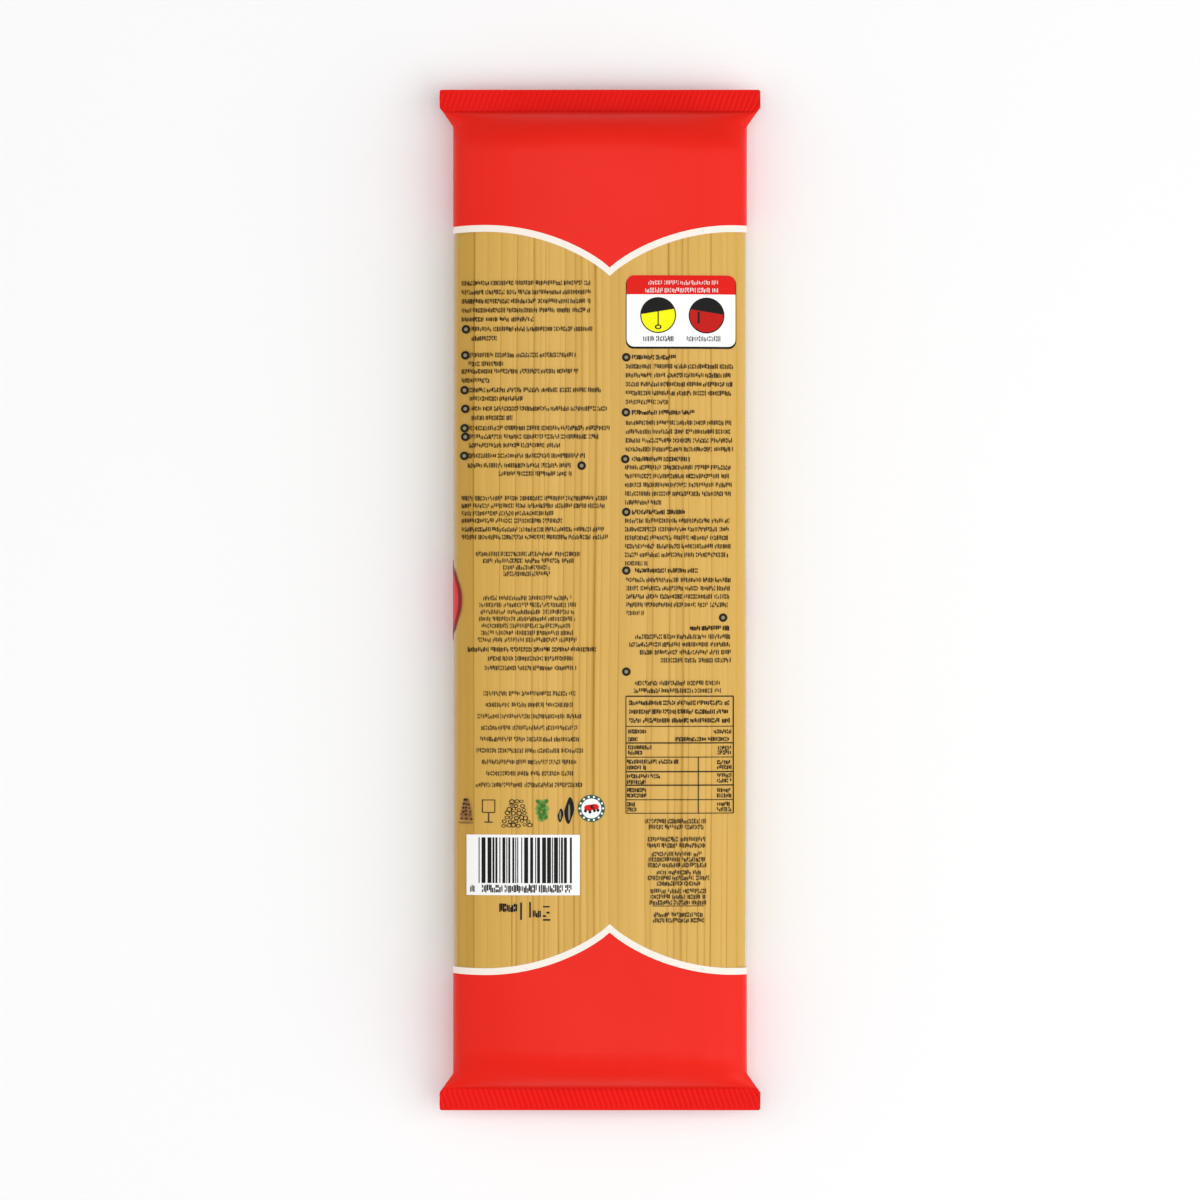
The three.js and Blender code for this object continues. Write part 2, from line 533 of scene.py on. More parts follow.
def lay_print(name, ink_name, template, copies, layer=0):
    """Prints copies of a flat template on the back, in one ink, as one piece."""
    ink = INKS[ink_name]
    base = getattr(bpy.context.scene.packet_colours, ink.colour)
    material = printed_material(ink_name, base, ink.roughness, INK_RELIEF)
    piece = lay_copies(name, template, copies, layer)
    return finish_piece(piece, name, material, ink.slot)


def in_metres(*copies):
    """Copies whose places and sizes are given in millimetres, in metres."""
    return [FlatCopy(*(value * MM for value in copy)) for copy in copies]


def drop(*templates):
    """Removes templates that have been copied."""
    for template in templates:
        bpy.data.objects.remove(template, do_unlink=True)


def square_template(strips=1):
    """A flat square of side 1, cut into strips."""
    return grid_of("square_template", strips, 1, lambda column, row: Vector(
        (column / strips - 0.5, row - 0.5, 0.0)
    ))


def disc_template(sides=24, strips=4):
    """A flat disc of radius 1, cut into strips."""
    begin()
    bpy.ops.mesh.primitive_circle_add(vertices=sides, radius=1.0, fill_type="NGON")
    piece = bpy.context.active_object
    cut_strips(piece, 2.0 / strips)
    return piece


def ring_template(inner, sides=32, strips=8):
    """A flat ring of outer radius 1, cut into strips."""
    begin()
    bpy.ops.mesh.primitive_circle_add(vertices=sides, radius=1.0, fill_type="NGON")
    piece = bpy.context.active_object
    edit(piece, "FACE")
    bpy.ops.mesh.inset(thickness=1.0 - inner)
    bpy.ops.mesh.delete(type="FACE")
    leave_edit()
    cut_strips(piece, 2.0 / strips)
    return piece


def panel_template(width, height, radius, spacing):
    """A flat rectangle with round corners, cut into strips."""
    begin()
    bpy.ops.mesh.primitive_plane_add(size=1.0)
    piece = bpy.context.active_object
    piece.scale = (width, height, 1.0)
    bpy.ops.object.transform_apply(location=False, rotation=False, scale=True)
    edit(piece)
    bpy.ops.mesh.bevel(offset=radius, segments=5, affect="VERTICES")
    leave_edit()
    cut_strips(piece, spacing)
    return piece


# Materials

def add_node(tree, kind, label, **settings):
    """A named node with its settings."""
    node = tree.nodes.new(kind)
    node.name = label
    node.label = label
    for key, value in settings.items():
        setattr(node, key, value)
    return node


def socket(node, name, value):
    """Sets the value of a node's input."""
    node.inputs[name].default_value = value


def film_finish_group():
    """Ink on film: cloudy colour, uneven gloss, fine grain and taut lines along the packet."""
    known = bpy.data.node_groups.get("film_finish")
    if known:
        return known
    group = bpy.data.node_groups.new("film_finish", "ShaderNodeTree")
    face = group.interface
    for name, kind in (
        ("Colour", "NodeSocketColor"),
        ("Cloud Colour", "NodeSocketColor"),
        ("Cloud", "NodeSocketFloat"),
        ("Roughness", "NodeSocketFloat"),
        ("Roughness Spread", "NodeSocketFloat"),
        ("Relief", "NodeSocketFloat"),
    ):
        face.new_socket(name, in_out="INPUT", socket_type=kind)
    face.new_socket("Colour", in_out="OUTPUT", socket_type="NodeSocketColor")
    face.new_socket("Roughness", in_out="OUTPUT", socket_type="NodeSocketFloat")
    face.new_socket("Mask", in_out="OUTPUT", socket_type="NodeSocketFloat")
    face.new_socket("Normal", in_out="OUTPUT", socket_type="NodeSocketVector")
    link = group.links.new
    given = add_node(group, "NodeGroupInput", "given")
    result = add_node(group, "NodeGroupOutput", "result")
    place = add_node(group, "ShaderNodeTexCoord", "place")

    clouds = add_node(group, "ShaderNodeTexNoise", "clouds")
    socket(clouds, "Scale", 34.0)
    socket(clouds, "Detail", 2.0)
    link(place.outputs["Object"], clouds.inputs["Vector"])
    grain = add_node(group, "ShaderNodeTexNoise", "grain")
    socket(grain, "Scale", 2600.0)
    socket(grain, "Detail", 1.0)
    link(place.outputs["Object"], grain.inputs["Vector"])
    blend = add_node(group, "ShaderNodeMath", "cloud and grain", operation="MULTIPLY_ADD")
    socket(blend, 1, 0.35)
    link(grain.outputs["Fac"], blend.inputs[0])
    link(clouds.outputs["Fac"], blend.inputs[2])
    spread = add_node(group, "ShaderNodeMapRange", "cloud share")
    socket(spread, "From Min", 0.45)
    socket(spread, "From Max", 0.95)
    link(blend.outputs[0], spread.inputs["Value"])
    weight = add_node(group, "ShaderNodeMath", "cloud weight", operation="MULTIPLY")
    link(spread.outputs["Result"], weight.inputs[0])
    link(given.outputs["Cloud"], weight.inputs[1])
    tint = add_node(group, "ShaderNodeMix", "cloud tint", data_type="RGBA")
    link(weight.outputs[0], tint.inputs["Factor"])
    link(given.outputs["Colour"], tint.inputs["A"])
    link(given.outputs["Cloud Colour"], tint.inputs["B"])
    link(tint.outputs["Result"], result.inputs["Colour"])
    link(spread.outputs["Result"], result.inputs["Mask"])

    gloss = add_node(group, "ShaderNodeMath", "gloss", operation="MULTIPLY_ADD")
    link(spread.outputs["Result"], gloss.inputs[0])
    link(given.outputs["Roughness Spread"], gloss.inputs[1])
    link(given.outputs["Roughness"], gloss.inputs[2])
    link(gloss.outputs[0], result.inputs["Roughness"])

    taut = add_node(group, "ShaderNodeMapping", "along the packet")
    socket(taut, "Scale", (230.0, 9.0, 230.0))
    link(place.outputs["Object"], taut.inputs["Vector"])
    lines = add_node(group, "ShaderNodeTexNoise", "taut lines")
    socket(lines, "Scale", 1.0)
    socket(lines, "Detail", 2.0)
    link(taut.outputs["Vector"], lines.inputs["Vector"])
    fine = add_node(group, "ShaderNodeMath", "with grain", operation="MULTIPLY_ADD")
    socket(fine, 1, 0.06)
    link(grain.outputs["Fac"], fine.inputs[0])
    link(lines.outputs["Fac"], fine.inputs[2])
    bump = add_node(group, "ShaderNodeBump", "relief")
    socket(bump, "Distance", 0.25 * MM)
    link(given.outputs["Relief"], bump.inputs["Strength"])
    link(fine.outputs[0], bump.inputs["Height"])
    link(bump.outputs["Normal"], result.inputs["Normal"])
    return group


def new_material(name):
    """An empty node material with its output."""
    material = bpy.data.materials.new(name)
    material.use_nodes = True
    material.node_tree.nodes.clear()
    output = add_node(material.node_tree, "ShaderNodeOutputMaterial", "output")
    return material, output


def place_finish(tree, base, cloud_share, cloudiness, roughness, spread, relief):
    """The film finish group in a material, with its own values."""
    finish = add_node(tree, "ShaderNodeGroup", "film finish", node_tree=film_finish_group())
    darker = tuple(channel * cloud_share for channel in base)
    socket(finish, "Colour", (*base, 1.0))
    socket(finish, "Cloud Colour", (*darker, 1.0))
    socket(finish, "Cloud", cloudiness)
    socket(finish, "Roughness", roughness)
    socket(finish, "Roughness Spread", spread)
    socket(finish, "Relief", relief)
    return finish


def printed_material(name, base, roughness=0.34, relief=0.35, cloudiness=0.5, gloss=0.14):
    """Ink on glossy film."""
    known = bpy.data.materials.get(name)
    if known:
        return known
    material, output = new_material(name)
    tree = material.node_tree
    finish = place_finish(tree, tuple(base), 0.94, cloudiness, roughness, 0.08, relief)
    shader = add_node(tree, "ShaderNodeBsdfPrincipled", "ink")
    socket(shader, "IOR", 1.48)
    socket(shader, "Specular IOR Level", gloss)
    tree.links.new(finish.outputs["Colour"], shader.inputs["Base Color"])
    tree.links.new(finish.outputs["Roughness"], shader.inputs["Roughness"])
    tree.links.new(finish.outputs["Normal"], shader.inputs["Normal"])
    tree.links.new(shader.outputs["BSDF"], output.inputs["Surface"])
    return material


def clear_film_material(base):
    """Clear film: see-through, with a thin haze and a gloss that grows at the sides."""
    known = bpy.data.materials.get("clear_film")
    if known:
        return known
    material, output = new_material("clear_film")
    tree = material.node_tree
    finish = place_finish(tree, tuple(base), 0.96, 0.4, 0.16, 0.08, 0.25)
    gloss = add_node(tree, "ShaderNodeBsdfPrincipled", "film gloss")
    socket(gloss, "Metallic", 1.0)
    tree.links.new(finish.outputs["Colour"], gloss.inputs["Base Color"])
    tree.links.new(finish.outputs["Roughness"], gloss.inputs["Roughness"])
    tree.links.new(finish.outputs["Normal"], gloss.inputs["Normal"])
    clear = add_node(tree, "ShaderNodeBsdfTransparent", "clear")
    facing = add_node(tree, "ShaderNodeLayerWeight", "facing")
    steep = add_node(tree, "ShaderNodeMath", "grows at the sides", operation="POWER")
    socket(steep, 1, 4.0)
    tree.links.new(facing.outputs["Facing"], steep.inputs[0])
    shine = add_node(tree, "ShaderNodeMath", "shine", operation="MULTIPLY_ADD")
    socket(shine, 1, 0.4)
    socket(shine, 2, 0.002)
    tree.links.new(steep.outputs[0], shine.inputs[0])
    haze = add_node(tree, "ShaderNodeMath", "haze", operation="MULTIPLY_ADD")
    socket(haze, 1, 0.002)
    tree.links.new(finish.outputs["Mask"], haze.inputs[0])
    tree.links.new(shine.outputs[0], haze.inputs[2])
    mix = add_node(tree, "ShaderNodeMixShader", "clear or gloss")
    tree.links.new(haze.outputs[0], mix.inputs[0])
    tree.links.new(clear.outputs[0], mix.inputs[1])
    tree.links.new(gloss.outputs[0], mix.inputs[2])
    tree.links.new(mix.outputs[0], output.inputs["Surface"])
    return material


def pasta_material(light, deep, side):
    """Dried pasta: each strand its own tone, fine streaks along it, and painted shade at the lines
    between strands and at the bundle's left side.
    """
    known = bpy.data.materials.get("dried_pasta")
    if known:
        return known
    material, output = new_material("dried_pasta")
    tree = material.node_tree
    link = tree.links.new
    place = add_node(tree, "ShaderNodeTexCoord", "place")
    along = add_node(tree, "ShaderNodeMapping", "along the strands")
    socket(along, "Scale", (620.0, 9.0, 620.0))
    link(place.outputs["Object"], along.inputs["Vector"])
    streaks = add_node(tree, "ShaderNodeTexNoise", "streaks")
    socket(streaks, "Scale", 1.0)
    socket(streaks, "Detail", 3.0)
    link(along.outputs["Vector"], streaks.inputs["Vector"])
    specks = add_node(tree, "ShaderNodeTexNoise", "specks")
    socket(specks, "Scale", 1500.0)
    socket(specks, "Detail", 2.0)
    link(place.outputs["Object"], specks.inputs["Vector"])
    # The strand tone is partly random and partly painted shade at the bundle's left side.
    tone = add_node(tree, "ShaderNodeAttribute", "strand tone", attribute_name="tone")
    wide = add_node(tree, "ShaderNodeMapRange", "streak share")
    socket(wide, "From Min", 0.3)
    socket(wide, "From Max", 0.75)
    socket(wide, "To Max", 0.19)
    link(streaks.outputs["Fac"], wide.inputs["Value"])
    tone_share = add_node(tree, "ShaderNodeMath", "tone share", operation="MULTIPLY_ADD")
    socket(tone_share, 1, 0.27)
    link(tone.outputs["Fac"], tone_share.inputs[0])
    link(wide.outputs["Result"], tone_share.inputs[2])
    with_specks = add_node(tree, "ShaderNodeMath", "with specks", operation="MULTIPLY_ADD")
    socket(with_specks, 1, 0.05)
    link(specks.outputs["Fac"], with_specks.inputs[0])
    link(tone_share.outputs[0], with_specks.inputs[2])
    # Painted shade: where a line shows, the strand's edge is painted towards the deep colour, for the
    # shade in the gap between strands.
    edge = add_node(tree, "ShaderNodeAttribute", "strand edge", attribute_name="edge")
    with_edge = add_node(tree, "ShaderNodeMath", "with edge", operation="MULTIPLY_ADD")
    socket(with_edge, 1, 1.0)
    link(edge.outputs["Fac"], with_edge.inputs[0])
    link(with_specks.outputs[0], with_edge.inputs[2])
    tint = add_node(tree, "ShaderNodeMix", "pasta tint", data_type="RGBA")
    socket(tint, "A", (*light, 1.0))
    socket(tint, "B", (*deep, 1.0))
    link(with_edge.outputs[0], tint.inputs["Factor"])
    # Painted shade and sheen: the outermost left edge is mixed towards the greyer side colour.
    shade = add_node(tree, "ShaderNodeAttribute", "side shade", attribute_name="shade")
    shaded = add_node(tree, "ShaderNodeMix", "shaded pasta", data_type="RGBA")
    socket(shaded, "B", (*side, 1.0))
    link(shade.outputs["Fac"], shaded.inputs["Factor"])
    link(tint.outputs["Result"], shaded.inputs["A"])
    bump = add_node(tree, "ShaderNodeBump", "streak relief")
    socket(bump, "Strength", 0.25)
    socket(bump, "Distance", 0.1 * MM)
    link(streaks.outputs["Fac"], bump.inputs["Height"])
    shader = add_node(tree, "ShaderNodeBsdfPrincipled", "pasta")
    socket(shader, "Roughness", 0.5)
    socket(shader, "IOR", 1.5)
    link(shaded.outputs["Result"], shader.inputs["Base Color"])
    link(bump.outputs["Normal"], shader.inputs["Normal"])
    link(shader.outputs["BSDF"], output.inputs["Surface"])
    return material


# Film

def red_rows(sizes, bands, x, side):
    """Places along the packet of the rows of a red end, from the border to the seal."""
    start = shoulder_start(sizes)
    shoulder = start - sizes.shoulder_length
    edge = border_edge(sizes, bands, x, side, 0.0)
    rows = [lerp(edge, shoulder, part / RED_PARTS) for part in range(RED_PARTS)]
    for part in range(SHOULDER_PARTS + 1):
        rows.append(start - sizes.shoulder_length * (1.0 - part / SHOULDER_PARTS) ** 2)
    return rows


def border_rows(sizes, bands, x, side):
    """Places along the packet of the rows of the pale border, from the window outwards."""
    inner = border_edge(sizes, bands, x, side, bands.border_width)
    outer = border_edge(sizes, bands, x, side, 0.0)
    return [lerp(inner, outer, part / BORDER_PARTS) for part in range(BORDER_PARTS + 1)]


def window_rows(sizes, bands, x, side):
    """Places along the packet of the rows of the clear window."""
    edge = border_edge(sizes, bands, x, side, bands.border_width)
    return [lerp(-edge, edge, part / WINDOW_PARTS) for part in range(WINDOW_PARTS + 1)]


def film_band(name, rows_of, turned):
    """A band of film all round the tube, turned to the lower end or not."""
    sizes = bpy.context.scene.packet_sizes
    bands = bpy.context.scene.packet_bands
    columns = round_columns(sizes, bands)
    places = []
    for share, side in columns:
        rows = rows_of(sizes, bands, share * sizes.body_width / 2.0, side)
        if turned:
            rows = [-y for y in reversed(rows)]
        places.append([film_point(sizes, y, share, side) for y in rows])
    piece = grid_of(
        name, len(columns) - 1, len(places[0]) - 1, lambda column, row: places[column][row]
    )
    close_seam(piece)
    thicken(piece, sizes.film_thickness, -1.0)
    return piece


class PACKET_OT_film(bpy.types.Operator):
    """Builds the film tube: red ends, pale borders and the clear window"""

    bl_idname = "pasta_packet.film"
    bl_label = "Film Tube"

    def execute(self, context):
        colours = context.scene.packet_colours
        red = printed_material("red_print", colours.red)
        cream = printed_material("cream_print", colours.cream)
        clear = clear_film_material(colours.clear)
        for name, rows_of, turned, material, slot in (
            ("film_upper_red", red_rows, False, red, "red_print"),
            ("film_lower_red", red_rows, True, red, "red_print"),
            ("film_upper_border", border_rows, False, cream, "cream_print"),
            ("film_lower_border", border_rows, True, cream, "cream_print"),
            ("film_window", window_rows, False, clear, "clear_film"),
        ):
            finish_piece(film_band(name, rows_of, turned), name, material, slot)
        return {"FINISHED"}


# End seals

# Share of the half width past which the seal narrows, and waves along its free edge.
NARROW_FROM = 0.8
EDGE_WAVES = 2.5
# Distances over which the ribs begin at the root and end before the plain edge.
RIB_START = 0.5 * MM
RIB_END = 0.35 * MM
RIB_PARTS = 8
SEAL_ROWS = 16


def seal_point(sizes, share, along, upper):
    """A point of a seal's middle surface: share of the half width, and 0 at the root, 1 at the edge."""
    full = sizes.seal_width / 2.0
    reach = along * sizes.seal_depth
    narrow = half_width(sizes, -reach) / full
    x = share * full * lerp(1.0, narrow, smooth((abs(share) - NARROW_FROM) / (1.0 - NARROW_FROM)))
    past_corner = max(0.0, abs(share) * full - (full - sizes.corner_radius))
    cut = sizes.corner_radius - math.sqrt(max(0.0, sizes.corner_radius**2 - past_corner**2))
    y = shoulder_start(sizes) + reach - cut * along
    wave = sizes.seal_wave * math.cos(math.tau * EDGE_WAVES * share / 2.0)
    level = sizes.widest_level + along * (wave - sizes.seal_droop)
    plain = sizes.seal_depth - sizes.plain_edge
    ribbed = smooth(reach / RIB_START) * smooth((plain - reach) / RIB_END)
    shift = sizes.rib_lean * (along - 0.5)
    rib = math.cos(math.tau * (share * full - shift) / sizes.rib_pitch)
    z = level + ribbed * rib * sizes.rib_height / 2.0
    return Vector((x, y if upper else -y, z))


class PACKET_OT_seals(bpy.types.Operator):
    """Builds the two crimped end seals"""

    bl_idname = "pasta_packet.seals"
    bl_label = "End Seals"

    def execute(self, context):
        sizes = context.scene.packet_sizes
        seal_red = context.scene.packet_colours.seal_red
        red = printed_material("seal_print", seal_red, roughness=0.45, gloss=0.08)
        columns = RIB_PARTS * round(sizes.seal_width / sizes.rib_pitch)
        for name, upper in (("seal_upper", True), ("seal_lower", False)):

            def place(column, row, upper=upper):
                along = row / SEAL_ROWS if upper else 1.0 - row / SEAL_ROWS
                return seal_point(sizes, 2.0 * column / columns - 1.0, along, upper)

            piece = grid_of(name, columns, SEAL_ROWS, place)
            thicken(piece, sizes.seal_thickness, 0.0)
            finish_piece(piece, name, red, "red_print", 60.0)
        return {"FINISHED"}


# Strands

class StrandLine(NamedTuple):
    """A line between strands: its place across the back, in millimetres, and its depth at each end."""

    place: float
    upper: float
    lower: float


STRAND_LINES = (
    StrandLine(-36.2, 1.3, 0.6),
    StrandLine(-28.7, 0.8, 0.4),
    StrandLine(-25.5, 0.0, 0.9),
    StrandLine(-24.1, 0.6, 0.8),
    StrandLine(-21.1, 0.0, 0.5),
    StrandLine(-19.4, 0.7, 0.6),
    StrandLine(-17.6, 0.0, 0.6),
    StrandLine(-16.2, 0.0, 0.7),
    StrandLine(-14.9, 0.6, 0.4),
    StrandLine(-12.1, 0.0, 0.9),
    StrandLine(-10.3, 0.4, 0.5),
    StrandLine(-7.6, 0.6, 0.9),
    StrandLine(-5.7, 0.5, 0.5),
    StrandLine(-3.7, 0.0, 0.3),
    StrandLine(-1.6, 1.2, 0.8),
    StrandLine(0.3, 0.0, 0.4),
    StrandLine(2.6, 0.0, 0.5),
    StrandLine(5.3, 0.7, 0.5),
    StrandLine(8.7, 0.0, 0.4),
    StrandLine(13.2, 0.0, 0.3),
    StrandLine(14.9, 0.5, 0.5),
    StrandLine(19.6, 1.0, 0.3),
    StrandLine(21.5, 0.0, 0.5),
    StrandLine(23.6, 0.6, 0.9),
    StrandLine(25.4, 0.5, 0.4),
    StrandLine(28.2, 0.0, 0.9),
    StrandLine(30.3, 0.0, 0.5),
    StrandLine(32.0, 0.7, 0.6),
    StrandLine(34.9, 0.0, 0.4),
    StrandLine(36.6, 0.0, 0.4),
    StrandLine(39.3, 0.7, 0.6),
)
PLAIN_LINE = StrandLine(0.0, 0.2, 0.2)
# Share of the length at which the lower depth of a line starts to change, and over how much.
CHANGE_START = 0.1
CHANGE_SPAN = 0.35
# How much the depth of a line swells and fades along it, and how often.
LINE_SWELL = 0.25
LINE_WAVES = 9.0
SECTION_PARTS = 160
# Space between two lines below which a strand stands on edge, and the room that it then takes,
# as shares of a strand's width.
EDGEWISE_SPACE = 0.5
EDGEWISE_ROOM = 0.75
INNER_ROOM = 0.2 * MM
# Room beside a strand where it lies flat, in a layer and in a level row.
FLAT_ROOM = 0.1 * MM
ROW_ROOM = 0.12 * MM
# Painted shade: the left side of the bundle, which turns away from the light, is painted darker up to
# one depth, and its edge is painted a paler grey up to another, for its shade and the film's sheen
# there.
PAINTED_SHADE_DEPTH = 10 * MM
PAINTED_SHADE_FADE = 6 * MM
PAINTED_SHADE_TONE = 1.5
PAINTED_GREY_DEPTH = 1.9 * MM
PAINTED_GREY_FADE = 1.2 * MM
PAINTED_GREY_SHARE = 0.5
# Place across at which the strands no longer sway, and how the sway shifts from one to the next.
SWAY_REACH = 42 * MM
LONG_SWAY = 23 * MM
SHORT_SWAY = 11 * MM
END_SHIFT = 0.5 * MM


class Walk:
    """The section of the tube at an inset from the film, walked from its left side over the back."""

    def __init__(self, sizes, inset):
        shares = top_shares(0.0, SECTION_PARTS, SECTION_PARTS)
        outline = [(share, 1) for share in shares]
        outline += [(-share, -1) for share in shares[1:]]
        middle = sizes.widest_level
        self.points = []
        for share, side in outline:
            point = film_point(sizes, 0.0, share, side)
            height = point.z - middle
            tall = sizes.packet_height - middle if side > 0 else middle
            x = point.x * (1.0 - 2.0 * inset / sizes.body_width)
            self.points.append(Vector((x, 0.0, middle + height * (1.0 - inset / tall))))
        self.walked = [0.0]
        for before, after in zip(self.points, self.points[1:]):
            self.walked.append(self.walked[-1] + (after - before).length)
        self.girth = self.walked[-1]
        self.back_points = len(shares)

    def at(self, distance):
        """The point after a distance, and the direction of the walk there."""
        held = distance % self.girth
        part = min(len(self.points) - 2, max(0, bisect_right(self.walked, held) - 1))
        before = self.points[part]
        after = self.points[part + 1]
        step = self.walked[part + 1] - self.walked[part]
        share = (held - self.walked[part]) / step
        return before.lerp(after, share), (after - before).normalized()

    def distance_over(self, x):
        """Distance walked to a place across the back."""
        for part in range(1, self.back_points):
            if self.points[part].x >= x:
                before = self.points[part - 1].x
                share = (x - before) / (self.points[part].x - before)
                return lerp(self.walked[part - 1], self.walked[part], share)
        return self.walked[self.back_points - 1]


class Strand(NamedTuple):
    """Where a strand lies in the section, how it is turned, its tone and the lines at its edges."""

    x: float
    z: float
    turn: float
    width: float
    tone: float
    depth: float = 1.0
    edgewise: bool = False
    left: StrandLine = PLAIN_LINE
    right: StrandLine = PLAIN_LINE


def strand_on(walk, distance, width, sink, edgewise, tone, depth=1.0):
    """A strand at a distance along a walk, sunk below it so that its edges stay inside."""
    point, direction = walk.at(distance)
    start = walk.at(distance - width / 2.0)[1]
    end = walk.at(distance + width / 2.0)[1]
    turned = start.angle(end, 0.0)
    inward = Vector((direction.z, 0.0, -direction.x))
    point = point + inward * (sink + width * turned / 8.0)
    turn = math.atan2(-direction.z, direction.x) + (math.pi / 2.0 if edgewise else 0.0)
    return Strand(point.x, point.z, turn, width, tone, depth, edgewise)


def line_depth(line, share):
    """How deep a line is at a share of the way up the packet."""
    depth = lerp(line.lower, line.upper, smooth((share - CHANGE_START) / CHANGE_SPAN))
    swell = LINE_SWELL * math.sin(share * LINE_WAVES + line.place)
    return depth * (1.0 - LINE_SWELL + swell)


def first_inset(sizes, strands):
    """Inset of the middle of the strands that lie against the film."""
    return strands.film_gap + sizes.film_thickness + strands.strand_thickness / 2.0


def layer_lines(walk, strands, rng):
    """The lines all round the first layer and their distances: those of the back, then the rest."""
    lines = [(walk.distance_over(line.place * MM), line) for line in STRAND_LINES]
    last = lines[-1][0]
    again = lines[0][0] + walk.girth
    count = round((again - last) / strands.strand_width)
    for part in range(1, count):
        distance = lerp(last, again, (part + rng.uniform(-0.25, 0.25)) / count)
        line = StrandLine(distance / MM, rng.uniform(0.2, 1.0), rng.uniform(0.2, 1.0))
        lines.append((distance, line))
    lines.append((again, STRAND_LINES[0]))
    return lines


def first_layer(sizes, strands, rng):
    """The strands that lie against the film, between the lines given."""
    walk = Walk(sizes, first_inset(sizes, strands))
    placed = []
    blocked = []
    lines = layer_lines(walk, strands, rng)
    for (start, line), (end, next_line) in zip(lines, lines[1:]):
        space = end - start
        edgewise = space < EDGEWISE_SPACE * strands.strand_width
        count = max(1, round(space / (strands.strand_width + FLAT_ROOM)))
        for part in range(count):
            centre = start + space * (part + 0.5) / count
            width = space / count + 2.0 * strands.closed_overlap
            if edgewise:
                tall = strands.strand_width
                sink = (tall - strands.strand_thickness) / 2.0
                depth = width / strands.strand_thickness
                strand = strand_on(walk, centre, tall, sink, True, rng.random(), depth)
                blocked.append(strand.x)
            else:
                strand = strand_on(walk, centre, width, 0.0, False, rng.random())
            before = line if part == 0 else PLAIN_LINE
            after = next_line if part == count - 1 else PLAIN_LINE
            placed.append(strand._replace(left=before, right=after))
    left = sizes.body_width / 2.0
    shaded = []
    for strand in placed:
        # Painted shade: strands towards the left side, which turns away from the light, get a darker
        # tone.
        darker = PAINTED_SHADE_TONE * clamp((-strand.x - left + PAINTED_SHADE_DEPTH) / PAINTED_SHADE_FADE)
        shaded.append(strand._replace(tone=strand.tone + darker))
    return shaded, blocked


def next_layers(sizes, strands, blocked, rng):
    """The layers under the first one, kept clear of the strands that stand on edge."""
    placed = []
    clearance = EDGEWISE_ROOM * strands.strand_width
    for ring in range(1, strands.rings):
        walk = Walk(sizes, first_inset(sizes, strands) + ring * strands.layer_pitch)
        count = int(walk.girth / (strands.strand_width + FLAT_ROOM))
        shift = rng.random()
        for part in range(count):
            distance = walk.girth * (part + shift) / count
            point = walk.at(distance)[0]
            over = point.z > sizes.widest_level
            if over and any(abs(point.x - x) < clearance for x in blocked):
                continue
            width = walk.girth / count - ROW_ROOM
            placed.append(strand_on(walk, distance, width, 0.0, False, rng.random()))
    return placed


def inner_rows(sizes, strands, rng):
    """The strands in the middle of the packet, in level rows."""
    placed = []
    inset = strands.rings * strands.layer_pitch + INNER_ROOM
    half = sizes.body_width / 2.0 - inset
    up = sizes.packet_height - sizes.widest_level - inset
    down = sizes.widest_level - inset
    rows = int((up + down) / strands.layer_pitch)
    for row in range(rows):
        level = -down + (up + down) * (row + 0.5) / rows
        tall = up if level > 0.0 else down
        share = min(1.0, (abs(level) + strands.strand_thickness / 2.0) / tall)
        reach = half * bulge(share, sizes.top_fullness)
        count = int(2.0 * reach / (strands.strand_width + ROW_ROOM))
        for part in range(count):
            x = -reach + 2.0 * reach * (part + 0.5) / count
            z = sizes.widest_level + level
            placed.append(Strand(x, z, 0.0, strands.strand_width, rng.random()))
    return placed


def strand_template(strands):
    """One strand along the packet, with rounded edges and parts to bend at."""
    begin()
    bpy.ops.mesh.primitive_cube_add(size=1.0)
    piece = bpy.context.active_object
    piece.name = "strand_template"
    piece.scale = (strands.strand_width, strands.strand_length, strands.strand_thickness)
    bpy.ops.object.transform_apply(location=False, rotation=False, scale=True)
    edit(piece, "EDGE", everything=False)
    leave_edit()
    points = piece.data.vertices
    for edge in piece.data.edges:
        start, end = (points[corner].co for corner in edge.vertices)
        edge.select = abs(start.y - end.y) > strands.strand_length / 2.0
    bpy.ops.object.mode_set(mode="EDIT")
    bpy.ops.mesh.bevel(offset=strands.edge_rounding, segments=3, affect="EDGES")
    leave_edit()
    cut_strips(piece, strands.strand_length / strands.segments, axis=1)
    return piece


def shape_section(strand, strands, point):
    """A point of a strand's section, drawn in where a line opens, and how much painted shade the line
    puts on it there.
    """
    across = point.x * strand.width / strands.strand_width
    up = point.z * strand.depth
    along = point.z if strand.edgewise else point.x
    half = (strands.strand_thickness if strand.edgewise else strands.strand_width) / 2.0
    line = strand.right if along > 0.0 else strand.left
    depth = line_depth(line, point.y / strands.strand_length + 0.5)
    edge = clamp((abs(along) - half) / strands.edge_rounding + 1.0)
    drawn = depth * (strands.closed_overlap - strands.open_overlap)
    if abs(along) > 0.1 * half:
        if strand.edgewise:
            up -= math.copysign(drawn, along)
        else:
            across -= math.copysign(drawn, along)
    return across, up, depth * edge


